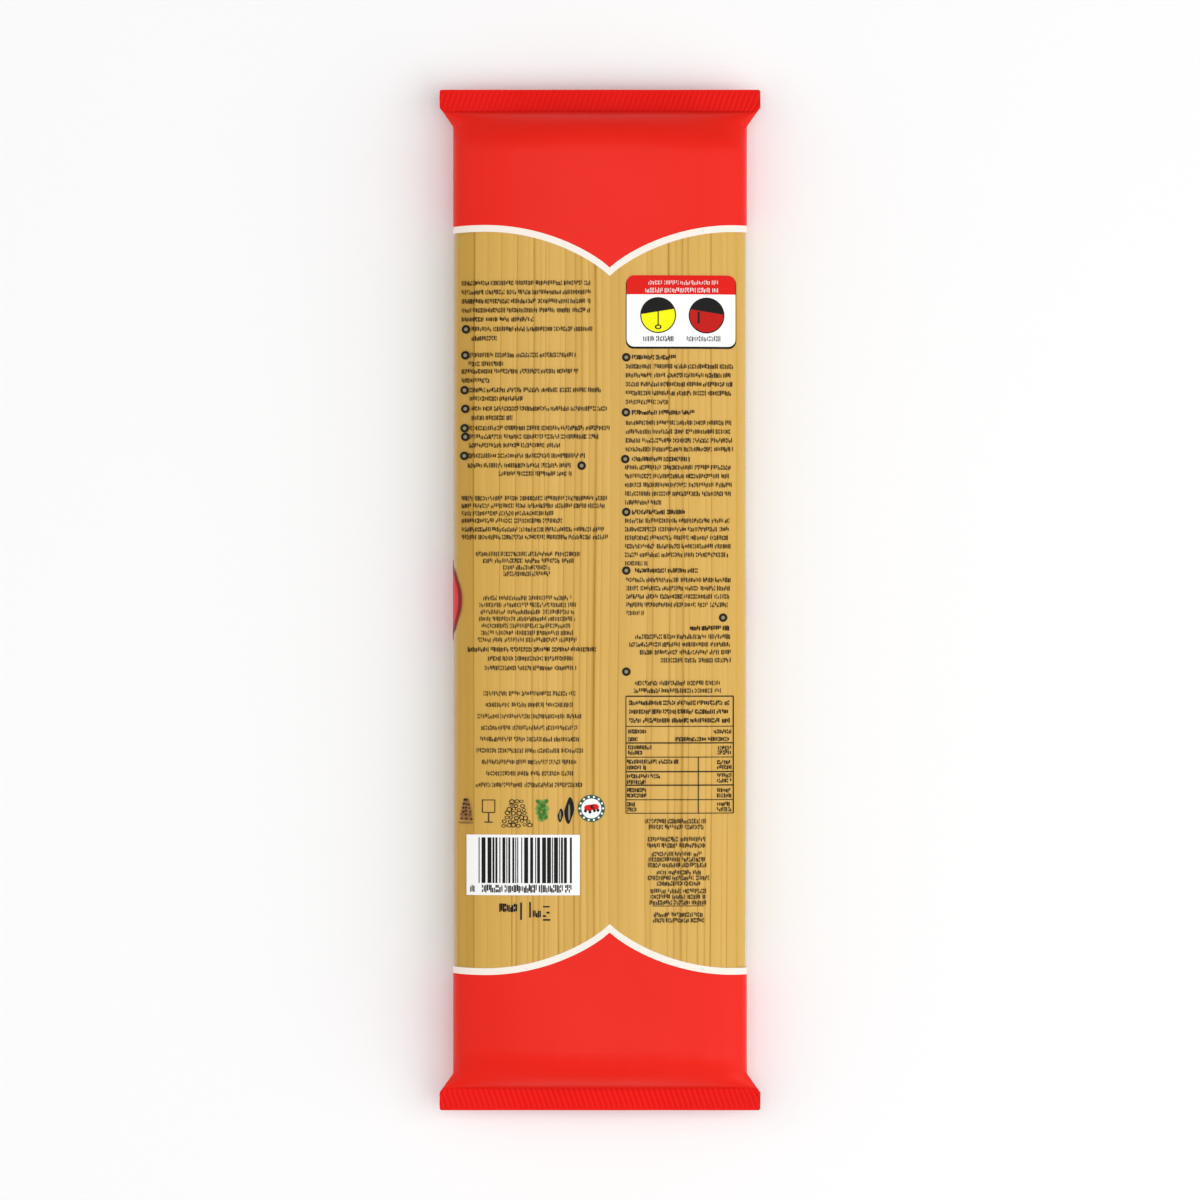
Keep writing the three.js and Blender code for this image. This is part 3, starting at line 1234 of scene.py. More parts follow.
def strand_piece(name, template, placed, strands, rng):
    """Copies the strand to each place, with a slight bend of its own, as one piece."""
    side = bpy.context.scene.packet_sizes.body_width / 2.0
    points = [vertex.co.copy() for vertex in template.data.vertices]
    faces = [tuple(face.vertices) for face in template.data.polygons]
    all_points = []
    all_faces = []
    tones = []
    shades = []
    depths = []
    for strand in placed:
        first = len(all_points)
        cos = math.cos(strand.turn)
        sin = math.sin(strand.turn)
        end_shift = rng.uniform(-1.0, 1.0) * END_SHIFT
        for point in points:
            across, up, depth = shape_section(strand, strands, point)
            x = strand.x + across * cos + up * sin
            z = strand.z - across * sin + up * cos
            y = point.y + end_shift
            share = y / strands.strand_length
            sway = math.sin(math.tau * share * 0.8 + strand.x / LONG_SWAY)
            sway += 0.5 * math.sin(math.tau * share * 1.7 + strand.x / SHORT_SWAY)
            x += strands.wander * sway * bulge(min(1.0, abs(strand.x) / SWAY_REACH), 2.0)
            all_points.append((x, y, z))
            tones.append(strand.tone)
            # Painted shade and sheen: points at the outermost left edge get a share of the greyer side
            # colour.
            shades.append(PAINTED_GREY_SHARE * clamp((-x - side + PAINTED_GREY_DEPTH) / PAINTED_GREY_FADE))
            depths.append(depth)
        for face in faces:
            all_faces.append(tuple(first + corner for corner in face))
    mesh = bpy.data.meshes.new(name)
    mesh.from_pydata(all_points, [], all_faces)
    # Attributes for the material: random tone with painted shade on the left side, the painted shade
    # and sheen of the outermost left edge, and the painted shade at the lines.
    for attribute, values in (("tone", tones), ("shade", shades), ("edge", depths)):
        mesh.attributes.new(attribute, "FLOAT", "POINT")
        mesh.attributes[attribute].data.foreach_set("value", values)
    piece = bpy.data.objects.new(name, mesh)
    bpy.context.scene.collection.objects.link(piece)
    return piece


class PACKET_OT_strands(bpy.types.Operator):
    """Fills the tube with strands of dried pasta"""

    bl_idname = "pasta_packet.strands"
    bl_label = "Pasta Strands"

    def execute(self, context):
        sizes = context.scene.packet_sizes
        strands = context.scene.packet_strands
        colours = context.scene.packet_colours
        pasta = pasta_material(colours.pasta, colours.pasta_deep_and_shade, colours.pasta_side_painted_shade)
        rng = random.Random(11)
        template = strand_template(strands)
        outer, blocked = first_layer(sizes, strands, rng)
        inner = next_layers(sizes, strands, blocked, rng)
        inner += inner_rows(sizes, strands, rng)
        for name, placed in (("strands_outer", outer), ("strands_inner", inner)):
            piece = strand_piece(name, template, placed, strands, rng)
            finish_piece(piece, name, pasta, "dried_pasta", 50.0)
        drop(template)
        return {"FINISHED"}


# Small print

class PrintBlock(NamedTuple):
    """Lines of small print, in millimetres on the back."""

    left: float
    right: float
    top: float
    lines: int = 1
    pitch: float = 2.55
    last: float = 1.0
    align: str = "left"
    ragged: float = 0.97
    bullet: float = None
    weight: float = 1.0
    height: float = 1.0


LEFT_COLUMN = (
    PrintBlock(-39.9, -2.3, 91.6, lines=5, pitch=2.62, last=0.56),
    PrintBlock(-37.0, -1.5, 78.3, lines=2, pitch=2.65, last=0.2, bullet=-38.8),
    PrintBlock(-37.9, -6.5, 70.8, lines=2, last=0.32, bullet=-39.0),
    PrintBlock(-39.9, -5.9, 66.1, lines=2, pitch=2.65, last=0.25),
    PrintBlock(-37.6, 0.7, 60.7, lines=2, pitch=2.5, last=0.4, bullet=-39.2),
    PrintBlock(-37.0, 2.8, 55.3, lines=2, pitch=2.64, last=0.3, bullet=-39.0),
    PrintBlock(-37.6, 2.8, 49.7, bullet=-39.2),
    PrintBlock(-37.8, -0.1, 47.2, lines=2, pitch=2.5, last=0.7, bullet=-39.0),
    PrintBlock(-38.1, -4.5, 41.7, lines=2, pitch=2.8, last=0.88, bullet=-39.3),
    PrintBlock(-29.1, -8.0, 36.5),
    PrintBlock(-39.9, 2.4, 29.4, lines=3, pitch=2.17, last=0.63),
    PrintBlock(-39.9, -10.9, 22.9),
    PrintBlock(-39.9, 2.2, 20.4, lines=2, pitch=2.23),
    PrintBlock(-35.8, -5.4, 13.3, lines=2, pitch=1.94, align="centre", last=0.86),
    PrintBlock(-28.0, -14.3, 9.4, lines=2, pitch=1.83, align="centre", last=0.96),
    PrintBlock(-35.2, -6.6, 0.6, lines=7, pitch=2.02, align="centre", ragged=0.88, weight=0.9),
    PrintBlock(-38.1, -1.0, -14.3, align="centre", weight=1.05),
    PrintBlock(-33.2, -6.8, -16.9, lines=2, pitch=2.73, align="centre", ragged=0.92),
    PrintBlock(-35.8, -4.8, -27.0, lines=9, pitch=3.3, align="centre", ragged=0.8, weight=0.9),
)

RIGHT_COLUMN = (
    PrintBlock(9.4, 21.9, 70.1, bullet=7.6, weight=1.2),
    PrintBlock(7.6, 38.7, 67.5, lines=5, pitch=2.58, last=0.39),
    PrintBlock(9.4, 27.4, 54.2, bullet=7.5, weight=1.2),
    PrintBlock(7.6, 38.7, 51.2, lines=4),
    PrintBlock(9.4, 26.0, 40.7, bullet=7.3, weight=1.2),
    PrintBlock(7.4, 38.4, 38.3, lines=5, pitch=2.53, last=0.33),
    PrintBlock(9.4, 24.5, 25.4, bullet=7.6, weight=1.2),
    PrintBlock(7.4, 38.0, 22.9, lines=6, pitch=2.46, last=0.2),
    PrintBlock(10.3, 28.3, 8.5, bullet=7.6, weight=1.2),
    PrintBlock(7.8, 38.0, 5.8, lines=5, pitch=2.4, last=0.17),
    PrintBlock(26.2, 37.6, -8.1, align="right", weight=1.5),
    PrintBlock(7.8, 37.8, -10.6, lines=3, pitch=2.25, align="right", ragged=0.9, last=0.87),
    PrintBlock(7.8, 37.8, -17.4, align="right", ragged=0.67, last=0.67),
    PrintBlock(9.9, 35.1, -24.0, lines=2, pitch=2.2, align="centre"),
    PrintBlock(8.6, 37.8, -29.7, lines=3, pitch=2.55, weight=1.2),
    PrintBlock(8.3, 13.2, -38.0, height=0.9, weight=1.15),
    PrintBlock(33.0, 37.9, -38.0, height=0.9, weight=1.15),
    PrintBlock(8.3, 10.7, -40.2, height=0.9, weight=1.15),
    PrintBlock(22.0, 37.9, -40.2, height=0.9, weight=1.15),
    PrintBlock(8.3, 14.8, -42.6, lines=2, pitch=1.5, last=0.6, height=0.9, weight=1.15),
    PrintBlock(34.2, 37.9, -42.8, lines=2, pitch=1.3, align="right", height=0.9, weight=1.15),
    PrintBlock(8.0, 22.8, -46.7, height=0.9, weight=1.15),
    PrintBlock(8.0, 13.4, -48.4, height=0.9, weight=1.15),
    PrintBlock(34.0, 37.9, -46.9, lines=2, pitch=1.4, align="right", height=0.9, weight=1.15),
    PrintBlock(8.0, 17.6, -50.9, lines=2, pitch=1.7, last=0.55, height=0.9, weight=1.15),
    PrintBlock(34.0, 37.9, -50.7, lines=2, pitch=1.5, align="right", height=0.9, weight=1.15),
    PrintBlock(8.0, 13.4, -54.9, lines=2, pitch=1.6, height=0.9, weight=1.15),
    PrintBlock(34.0, 37.9, -55.0, lines=2, pitch=1.5, align="right", height=0.9, weight=1.15),
    PrintBlock(8.0, 10.4, -59.0, lines=2, pitch=1.5, height=0.9, weight=1.15),
    PrintBlock(34.0, 37.9, -59.0, lines=2, pitch=1.5, align="right", height=0.9, weight=1.15),
    PrintBlock(13.2, 30.9, -63.9, lines=2, pitch=1.7, align="centre", last=0.88),
    PrintBlock(13.8, 30.6, -69.1, lines=2, pitch=1.83, align="centre", ragged=0.88),
    PrintBlock(14.0, 30.6, -73.4, lines=3, pitch=1.6, align="centre", ragged=0.86),
    PrintBlock(13.2, 32.3, -78.7, lines=3, pitch=1.6, align="centre", ragged=0.62, last=0.65),
    PrintBlock(14.5, 30.9, -84.1, lines=3, pitch=1.65, align="centre", ragged=0.94),
    PrintBlock(15.5, 30.0, -90.9, lines=2, pitch=1.65, align="centre"),
)

# Round marks that stand alone, in millimetres across and along.
LONE_BULLETS = ((-5.3, 38.8), (35.6, -5.1), (7.6, -20.7))

# Least and most of what is drawn for each mark or word, as shares of the sizes of the print.
WORD_MARKS = (6, 20)
WORD_GAPS = (0.6, 1.2)
MARK_WEIGHTS = (0.75, 1.2)
MARK_HEIGHTS = (0.55, 1.0)
MARK_STEPS = (0.9, 1.15)
MARK_ROOM = 0.1 * MM
# Share of upright marks. The others are pairs, one mark over the other.
UPRIGHT_SHARE = 0.85
PAIR_LEVEL = 0.29
PAIR_HEIGHT = 0.36


def line_marks(print_sizes, rng, left, right, middle, weight, height):
    """Small upright and level marks in a row, in words, that stand for a line of small print."""
    marks = []
    x = left
    tall = print_sizes.line_height * height
    pitch = print_sizes.stroke_pitch
    while x < right:
        for _ in range(rng.randint(*WORD_MARKS)):
            if x >= right:
                break
            width = print_sizes.stroke_width * weight * rng.uniform(*MARK_WEIGHTS)
            if rng.random() < UPRIGHT_SHARE:
                size = tall * rng.uniform(*MARK_HEIGHTS)
                level = (tall - size) * rng.choice((-0.5, 0.0, 0.5))
                marks.append(FlatCopy(x, middle + level, width, size))
            else:
                for level in (PAIR_LEVEL * tall, -PAIR_LEVEL * tall):
                    marks.append(FlatCopy(x, middle + level, width, tall * PAIR_HEIGHT))
            x += max(pitch, width + MARK_ROOM) * rng.uniform(*MARK_STEPS)
        x += pitch * rng.uniform(*WORD_GAPS)
    return marks


def block_marks(block, print_sizes, rng):
    """The marks of a block of small print."""
    marks = []
    width = (block.right - block.left) * MM
    for line in range(block.lines):
        share = rng.uniform(block.ragged, 1.0)
        if line == block.lines - 1:
            share = block.last
        spare = width * (1.0 - share)
        start = block.left * MM
        if block.align == "centre":
            start += spare / 2.0
        if block.align == "right":
            start += spare
        middle = (block.top - line * block.pitch) * MM
        end = start + width * share
        marks += line_marks(print_sizes, rng, start, end, middle, block.weight, block.height)
    return marks


class MarkRow(NamedTuple):
    """A row of marks outside the two columns, in millimetres on the back."""

    left: float
    right: float
    level: float
    weight: float
    height: float


def row_marks(print_sizes, rng, *rows):
    """The marks of some rows."""
    marks = []
    for row in rows:
        ends = (row.left * MM, row.right * MM, row.level * MM)
        marks += line_marks(print_sizes, rng, *ends, row.weight, row.height)
    return marks


class PACKET_OT_small_print(bpy.types.Operator):
    """Lays the two columns of small print on the back, as plain marks without letters"""

    bl_idname = "pasta_packet.small_print"
    bl_label = "Small Print"

    def execute(self, context):
        print_sizes = context.scene.packet_print
        rng = random.Random(5)
        square = square_template()
        disc = disc_template(20, 4)
        bullets = [FlatCopy(x * MM, y * MM) for x, y in LONE_BULLETS]
        for name, blocks in (("print_left", LEFT_COLUMN), ("print_right", RIGHT_COLUMN)):
            marks = []
            for block in blocks:
                marks += block_marks(block, print_sizes, rng)
                if block.bullet is not None:
                    bullets.append(FlatCopy(block.bullet * MM, block.top * MM))
            lay_print(name, "dark_print", square, marks)
        radius = print_sizes.bullet_radius
        inner_radius = print_sizes.bullet_centre * radius
        outer = [FlatCopy(mark.x, mark.y, radius, radius) for mark in bullets]
        inner = [FlatCopy(mark.x, mark.y, inner_radius, inner_radius) for mark in bullets]
        lay_print("print_bullets", "dark_print", disc, outer)
        lay_print("print_bullet_centres", "grey_print", disc, inner, 2)
        drop(square, disc)
        return {"FINISHED"}


# White panel

PANEL_HEAD_ROWS = (
    MarkRow(14.1, 34.1, 91.7, weight=0.6, height=0.9),
    MarkRow(13.2, 34.4, 89.5, weight=0.7, height=1.0),
)
PANEL_CAPTIONS = (
    MarkRow(12.6, 21.2, 75.5, weight=0.95, height=1.1),
    MarkRow(25.2, 35.4, 75.5, weight=0.95, height=1.1),
)
YELLOW_PLACE = (16.8 * MM, 82.3 * MM)
RED_PLACE = (30.8 * MM, 82.2 * MM)
# Level and slant of the dark caps, as shares of the disc's radius.
CAP_LEVEL = 0.22
CAP_TILT = 0.16
DISC_STEMS = in_metres(FlatCopy(16.8, 81.4, 0.34, 4.4), FlatCopy(28.5, 81.6, 0.6, 3.4))
DISC_FOOT = in_metres(FlatCopy(16.8, 78.9, 1.0, 0.7))


class PACKET_OT_panel(bpy.types.Operator):
    """Lays the small white panel with its red head and two plain discs on the back"""

    bl_idname = "pasta_packet.panel"
    bl_label = "White Panel"

    def execute(self, context):
        print_sizes = context.scene.packet_print
        panel = context.scene.packet_panel
        middle = (panel.left + panel.right) / 2.0
        level = (panel.top + panel.base) / 2.0
        width = panel.right - panel.left
        height = panel.top - panel.base
        spacing = print_sizes.strip_width
        rng = random.Random(8)

        outer = (width + panel.outline, height + panel.outline)
        shape = panel_template(*outer, panel.corner_radius + 0.1 * MM, spacing)
        shadow = [FlatCopy(middle, level - panel.outline)]
        lay_print("panel_outline", "black_print", shape, shadow)
        drop(shape)
        shape = panel_template(width, height, panel.corner_radius, spacing)
        lay_print("panel_field", "white_print", shape, [FlatCopy(middle, level)], 1)
        for vertex in shape.data.vertices:
            vertex.co.y = max(vertex.co.y, height / 2.0 - panel.head)
        close_seam(shape)
        lay_print("panel_head", "red_ink", shape, [FlatCopy(middle, level)], 2)
        drop(shape)

        square = square_template()
        marks = row_marks(print_sizes, rng, *PANEL_HEAD_ROWS)
        lay_print("panel_head_marks", "white_print", square, marks, 3)
        marks = row_marks(print_sizes, rng, *PANEL_CAPTIONS)
        lay_print("panel_captions", "black_print", square, marks, 2)

        disc = disc_template(32, 8)
        radius = panel.disc_radius
        inner = radius - panel.disc_rim
        rims = [FlatCopy(*YELLOW_PLACE, radius, radius), FlatCopy(*RED_PLACE, radius, radius)]
        lay_print("panel_disc_rims", "black_print", disc, rims, 2)
        yellow = [FlatCopy(*YELLOW_PLACE, inner, inner)]
        lay_print("panel_yellow_disc", "yellow_print", disc, yellow, 3)
        lay_print("panel_red_disc", "disc_red_ink", disc, [FlatCopy(*RED_PLACE, inner, inner)], 3)
        for vertex in disc.data.vertices:
            vertex.co.y = max(vertex.co.y, CAP_LEVEL - CAP_TILT * vertex.co.x)
        close_seam(disc)
        caps = [FlatCopy(*YELLOW_PLACE, -inner, inner), FlatCopy(*RED_PLACE, inner, inner)]
        lay_print("panel_disc_caps", "black_print", disc, caps, 4)
        lay_print("panel_disc_stems", "black_print", square, DISC_STEMS, 4)
        ring = ring_template(0.55, 16, 4)
        lay_print("panel_disc_foot", "black_print", ring, DISC_FOOT, 4)
        drop(square, disc, ring)
        return {"FINISHED"}


# Table

TABLE_LEFT = 7.5 * MM
TABLE_RIGHT = 38.6 * MM
TABLE_DIVIDE = 28.4 * MM
# Levels of the lines across the table and of the bolder ones, in millimetres along the packet.
TABLE_LEVELS = (-27.8, -36.5, -41.3, -45.4, -49.6, -53.5, -57.7, -61.6)
HEAVY_LEVELS = (-27.8, -41.3, -49.6, -53.5)
HEAVY_RULE = 1.5
LOW_RULE_PLACE = (22.7 * MM, -88.4 * MM)
LOW_RULE_LENGTH = 15.0 * MM


class PACKET_OT_table(bpy.types.Operator):
    """Lays the lines of the table on the back"""

    bl_idname = "pasta_packet.table"
    bl_label = "Table Lines"

    def execute(self, context):
        print_sizes = context.scene.packet_print
        width = print_sizes.rule_width
        middle = (TABLE_LEFT + TABLE_RIGHT) / 2.0
        across = []
        for level in TABLE_LEVELS:
            weight = HEAVY_RULE if level in HEAVY_LEVELS else 1.0
            across.append(FlatCopy(middle, level * MM, TABLE_RIGHT - TABLE_LEFT, width * weight))
        across.append(FlatCopy(*LOW_RULE_PLACE, LOW_RULE_LENGTH, width * 0.8))
        along = []
        for x, top, weight in (
            (TABLE_LEFT, TABLE_LEVELS[0], 1.0),
            (TABLE_RIGHT, TABLE_LEVELS[0], 1.3),
            (TABLE_DIVIDE, TABLE_LEVELS[3], 1.0),
        ):
            tall = (top - TABLE_LEVELS[-1]) * MM
            along.append(FlatCopy(x, top * MM - tall / 2.0, width * weight, tall))
        strips = square_template(round((TABLE_RIGHT - TABLE_LEFT) / print_sizes.strip_width))
        lay_print("table_lines_across", "dark_print", strips, across)
        square = square_template()
        lay_print("table_lines_along", "dark_print", square, along)
        drop(strips, square)
        return {"FINISHED"}


# Bar field

FIELD_LEFT = -38.6 * MM
FIELD_RIGHT = -5.8 * MM
FIELD_TOP = -67.8 * MM
FIELD_BASE = -85.3 * MM
FIRST_BAR = -35.1 * MM
LAST_BAR = -7.8 * MM
BAR_TOP = -68.6 * MM
BAR_BASE = -81.8 * MM
# Width of the narrowest bar, and how many of it the bars and the gaps are wide.
BAR_MODULE = 0.287 * MM
BAR_WIDTHS = (1, 1, 2, 2, 3, 4)
BAR_GAPS = (1, 1, 1, 2, 2, 3)
BAR_ROWS = (
    MarkRow(-37.4, -36.2, -83.4, weight=1.3, height=1.4),
    MarkRow(-34.0, -8.2, -83.4, weight=1.35, height=1.6),
)
DATE_ROWS = (
    MarkRow(-28.9, -23.6, -88.9, weight=1.7, height=1.7),
    MarkRow(-19.2, -17.0, -90.7, weight=1.5, height=1.4),
)
DATE_STROKES = in_metres(
    FlatCopy(-22.8, -89.9, 0.5, 5.0),
    FlatCopy(-20.2, -89.5, 0.45, 4.5),
    FlatCopy(-15.5, -88.6, 1.9, 0.4),
    FlatCopy(-15.0, -90.3, 0.9, 0.5),
    FlatCopy(-16.0, -91.3, 0.9, 0.5),
    FlatCopy(-15.4, -92.4, 2.1, 0.45),
)


class PACKET_OT_bars(bpy.types.Operator):
    """Lays the white field with plain upright bars on the back"""

    bl_idname = "pasta_packet.bars"
    bl_label = "Bar Field"

    def execute(self, context):
        print_sizes = context.scene.packet_print
        rng = random.Random(21)
        width = FIELD_RIGHT - FIELD_LEFT
        strips = square_template(round(width / print_sizes.strip_width))
        middle = (FIELD_LEFT + FIELD_RIGHT) / 2.0
        level = (FIELD_TOP + FIELD_BASE) / 2.0
        field = [FlatCopy(middle, level, width, FIELD_TOP - FIELD_BASE)]
        lay_print("bar_field", "white_print", strips, field)

        bars = []
        height = BAR_TOP - BAR_BASE
        level = (BAR_TOP + BAR_BASE) / 2.0
        x = FIRST_BAR
        while x < LAST_BAR:
            width = BAR_MODULE * rng.choice(BAR_WIDTHS)
            bars.append(FlatCopy(x + width / 2.0, level, width, height))
            x += width + BAR_MODULE * rng.choice(BAR_GAPS)
        square = square_template()
        lay_print("bars", "black_print", square, bars, 1)
        marks = row_marks(print_sizes, rng, *BAR_ROWS)
        lay_print("bar_marks", "black_print", square, marks, 1)
        dates = row_marks(print_sizes, rng, *DATE_ROWS) + DATE_STROKES
        lay_print("date_marks", "black_print", square, dates)
        drop(strips, square)
        return {"FINISHED"}


# Row of small signs

# Places of the signs, in millimetres across and along the back.
MOUND_PLACE = (-38.8, -57.9)
MOUND_REACH = (0.5, 0.9, 1.2, 1.5, 1.7, 1.9)
MOUND_STEP = 1.05
MOUND_SIZES = (0.45, 0.62)
MOUND_MARK_SIZES = (0.2, 0.34)
MOUND_FOOT = in_metres(FlatCopy(-38.8, -64.4, 2.3, 0.3))
CUP_STROKES = in_metres(
    FlatCopy(-32.2, -57.8, 3.9, 0.25),
    FlatCopy(-34.0, -59.6, 0.25, 3.6),
    FlatCopy(-30.4, -59.6, 0.25, 3.6),
    FlatCopy(-32.2, -61.4, 3.4, 0.25),
    FlatCopy(-32.2, -62.8, 0.3, 2.6),
    FlatCopy(-32.2, -64.2, 2.4, 0.3),
)
HEAP_PLACE = (-24.2, -58.2)
HEAP_ROWS = 7
HEAP_STEP = 1.15
HEAP_TOP = 2.0
HEAP_SPREAD = 0.42
HEAP_SIZES = (0.55, 0.85)
LEAVES_PLACE = (-16.7, -58.4)
LEAF_ROWS = 5
LEAF_STEP = 1.15
LEAF_WIDTHS = (1.2, 1.5)
LEAF_HEIGHT = 0.9 * MM
DARK_LEAVES = in_metres(FlatCopy(-11.4, -62.2, 1.3, 2.0), FlatCopy(-8.9, -60.8, 2.3, 3.9))
LEAF_VEINS = in_metres(FlatCopy(-11.5, -62.2, 0.25, 1.3), FlatCopy(-8.9, -61.3, 0.3, 2.4))
BADGE_PLACE = (-2.5 * MM, -60.2 * MM)
BADGE_RADIUS = 3.9 * MM
BADGE_DOT = 0.3 * MM
BADGE_DOTS = 14
# Radii of the badge's white field, of the inside of its ring and of its dots, as shares.
BADGE_FIELD = 0.97
BADGE_HOLE = 0.74
BADGE_DOT_REACH = 0.87
BADGE_MIDDLE = in_metres(FlatCopy(-3.1, -60.0, 1.5, 0.9), FlatCopy(-1.6, -59.7, 1.3, 0.8))
BADGE_SPOTS = in_metres(
    FlatCopy(-4.2, -60.9, 0.42, 0.5),
    FlatCopy(-2.9, -61.2, 0.42, 0.5),
    FlatCopy(-1.6, -60.8, 0.42, 0.5),
    FlatCopy(-0.6, -60.7, 0.42, 0.5),
    FlatCopy(-2.4, -59.6, 0.42, 0.5),
)


def leaf_template():
    """A flat leaf, pointed at both ends, 2 high."""
    piece = disc_template(28, 6)
    for vertex in piece.data.vertices:
        vertex.co.x *= 0.62 * (1.0 - 0.35 * abs(vertex.co.y))
        vertex.co.x += 0.12 * math.sin(2.2 * vertex.co.y)
    return piece


class PACKET_OT_signs(bpy.types.Operator):
    """Lays the row of small plain signs and the round badge on the back"""

    bl_idname = "pasta_packet.signs"
    bl_label = "Small Signs"

    def execute(self, context):
        rng = random.Random(3)
        square = square_template()

        grain = disc_template(12, 4)
        pebble = ring_template(0.66, 12, 4)
        mound = []
        mound_marks = []
        for row, reach in enumerate(MOUND_REACH):
            for part in range(-1, 2):
                x = (MOUND_PLACE[0] + reach * part / 1.5) * MM
                y = (MOUND_PLACE[1] - MOUND_STEP * row) * MM
                size = rng.uniform(*MOUND_SIZES) * MM
                mound.append(FlatCopy(x, y, size, size))
                mark = rng.uniform(*MOUND_MARK_SIZES) * MM
                shift = rng.uniform(-0.3, 0.3) * MM
                mound_marks.append(FlatCopy(x + shift, y - shift, mark, mark))
        lay_print("sign_mound", "brown_print", grain, mound + MOUND_FOOT)
        lay_print("sign_mound_marks", "dark_print", grain, mound_marks, 1)
        lay_print("sign_cup", "dark_print", square, CUP_STROKES)

        heap = []
        for row in range(HEAP_ROWS):
            reach = HEAP_TOP + HEAP_SPREAD * row
            count = 3 + row // 2
            for part in range(count):
                x = reach * (2.0 * (part + rng.uniform(0.3, 0.7)) / count - 1.0)
                y = -HEAP_STEP * row + rng.uniform(-0.2, 0.2)
                size = rng.uniform(*HEAP_SIZES) * MM
                place = ((HEAP_PLACE[0] + x) * MM, (HEAP_PLACE[1] + y) * MM)
                heap.append(FlatCopy(*place, size, size * rng.uniform(0.7, 1.0)))
        lay_print("sign_heap", "dark_print", pebble, heap)

        shape = leaf_template()
        for name, ink_name, reach, layer in (
            ("sign_green_leaves", "leaf_print", 1.0, 0),
            ("sign_deep_green_leaves", "deep_leaf_print", 0.75, 1),
        ):
            leaves = []
            for row in range(LEAF_ROWS):
                for side in (-1.0, 1.0):
                    x = (LEAVES_PLACE[0] + side * rng.uniform(0.2, 1.3)) * MM
                    y = (LEAVES_PLACE[1] - LEAF_STEP * row + rng.uniform(-0.3, 0.3)) * MM
                    wide = side * reach * rng.uniform(*LEAF_WIDTHS) * MM
                    leaves.append(FlatCopy(x, y, wide, LEAF_HEIGHT * reach))
            lay_print(name, ink_name, shape, leaves, layer)
        lay_print("sign_dark_leaves", "black_print", shape, DARK_LEAVES)
        lay_print("sign_leaf_veins", "grey_print", grain, LEAF_VEINS, 1)
        drop(shape, grain, pebble)

        radius = BADGE_RADIUS
        disc = disc_template(36, 6)
        ring = ring_template(BADGE_HOLE, 36, 6)
        field = [FlatCopy(*BADGE_PLACE, radius * BADGE_FIELD, radius * BADGE_FIELD)]
        lay_print("badge_field", "white_print", disc, field)
        lay_print("badge_ring", "green_print", ring, [FlatCopy(*BADGE_PLACE, radius, radius)], 1)
        dots = []
        for part in range(BADGE_DOTS):
            turn = math.tau * part / BADGE_DOTS
            x = BADGE_PLACE[0] + BADGE_DOT_REACH * radius * math.cos(turn)
            y = BADGE_PLACE[1] + BADGE_DOT_REACH * radius * math.sin(turn)
            dots.append(FlatCopy(x, y, BADGE_DOT, BADGE_DOT))
        lay_print("badge_dots", "white_print", disc, dots, 2)
        lay_print("badge_middle", "red_ink", disc, BADGE_MIDDLE, 1)
        lay_print("badge_spots", "dark_print", disc, BADGE_SPOTS, 2)
        drop(square, disc, ring)
        return {"FINISHED"}


# Front band

FRONT_COLUMNS = 96
FRONT_ROWS = 8
RIM_LIFT = 0.04 * MM
BAND_LIFT = 0.07 * MM


def front_band_piece(name, extra, lift):
    """A band with round ends across the front, larger by an amount all round."""
    sizes = bpy.context.scene.packet_sizes
    bands = bpy.context.scene.packet_bands
    walk = Walk(sizes, 0.0)
    half_length = bands.front_band_length / 2.0 + extra
    half_band = bands.front_band_width / 2.0 + extra
    straight = half_length - half_band
    right_side = walk.walked[walk.back_points - 1]
    middle = (right_side + walk.girth) / 2.0 + bands.front_band_place

    def place(column, row):
        turn = math.pi * column / FRONT_COLUMNS
        distance = -half_length * math.cos(turn)
        past = max(0.0, abs(distance) - straight)
        reach = math.sqrt(max(0.0, half_band**2 - past**2))
        point, direction = walk.at(middle + distance)
        outward = Vector((-direction.z, 0.0, direction.x))
        point = point + outward * lift
        return Vector((point.x, (2.0 * row / FRONT_ROWS - 1.0) * reach, point.z))

    piece = grid_of(name, FRONT_COLUMNS, FRONT_ROWS, place)
    close_seam(piece)
    thicken(piece, sizes.film_thickness / 3.0, -1.0)
    return piece


class PACKET_OT_front_band(bpy.types.Operator):
    """Lays the plain band with round ends on the front, which faces down"""

    bl_idname = "pasta_packet.front_band"
    bl_label = "Front Band"

    def execute(self, context):
        bands = context.scene.packet_bands
        colours = context.scene.packet_colours
        red = printed_material("front_red_print", colours.front_red)
        deep = printed_material("deep_red_print", colours.deep_red)
        rim = front_band_piece("front_band_rim", bands.front_rim_width, RIM_LIFT)
        finish_piece(rim, "front_band_rim", deep, "red_print")
        field = front_band_piece("front_band", 0.0, BAND_LIFT)
        finish_piece(field, "front_band", red, "red_print")
        return {"FINISHED"}


# Floor, lights and camera

# Places and sizes of the lights, the floor and the camera's sensor.
KEY_PLACE = (1.7, -0.6, 1.5)
FILL_PLACE = (-1.8, 0.1, 1.3)
TOP_PLACE = (0.0, 0.0, 2.6)
SIDE_LIGHT_SIZE = 2.6
TOP_LIGHT_SIZE = 1.6
FLOOR_SIZE = 8.0
SENSOR_WIDTH = 36.0


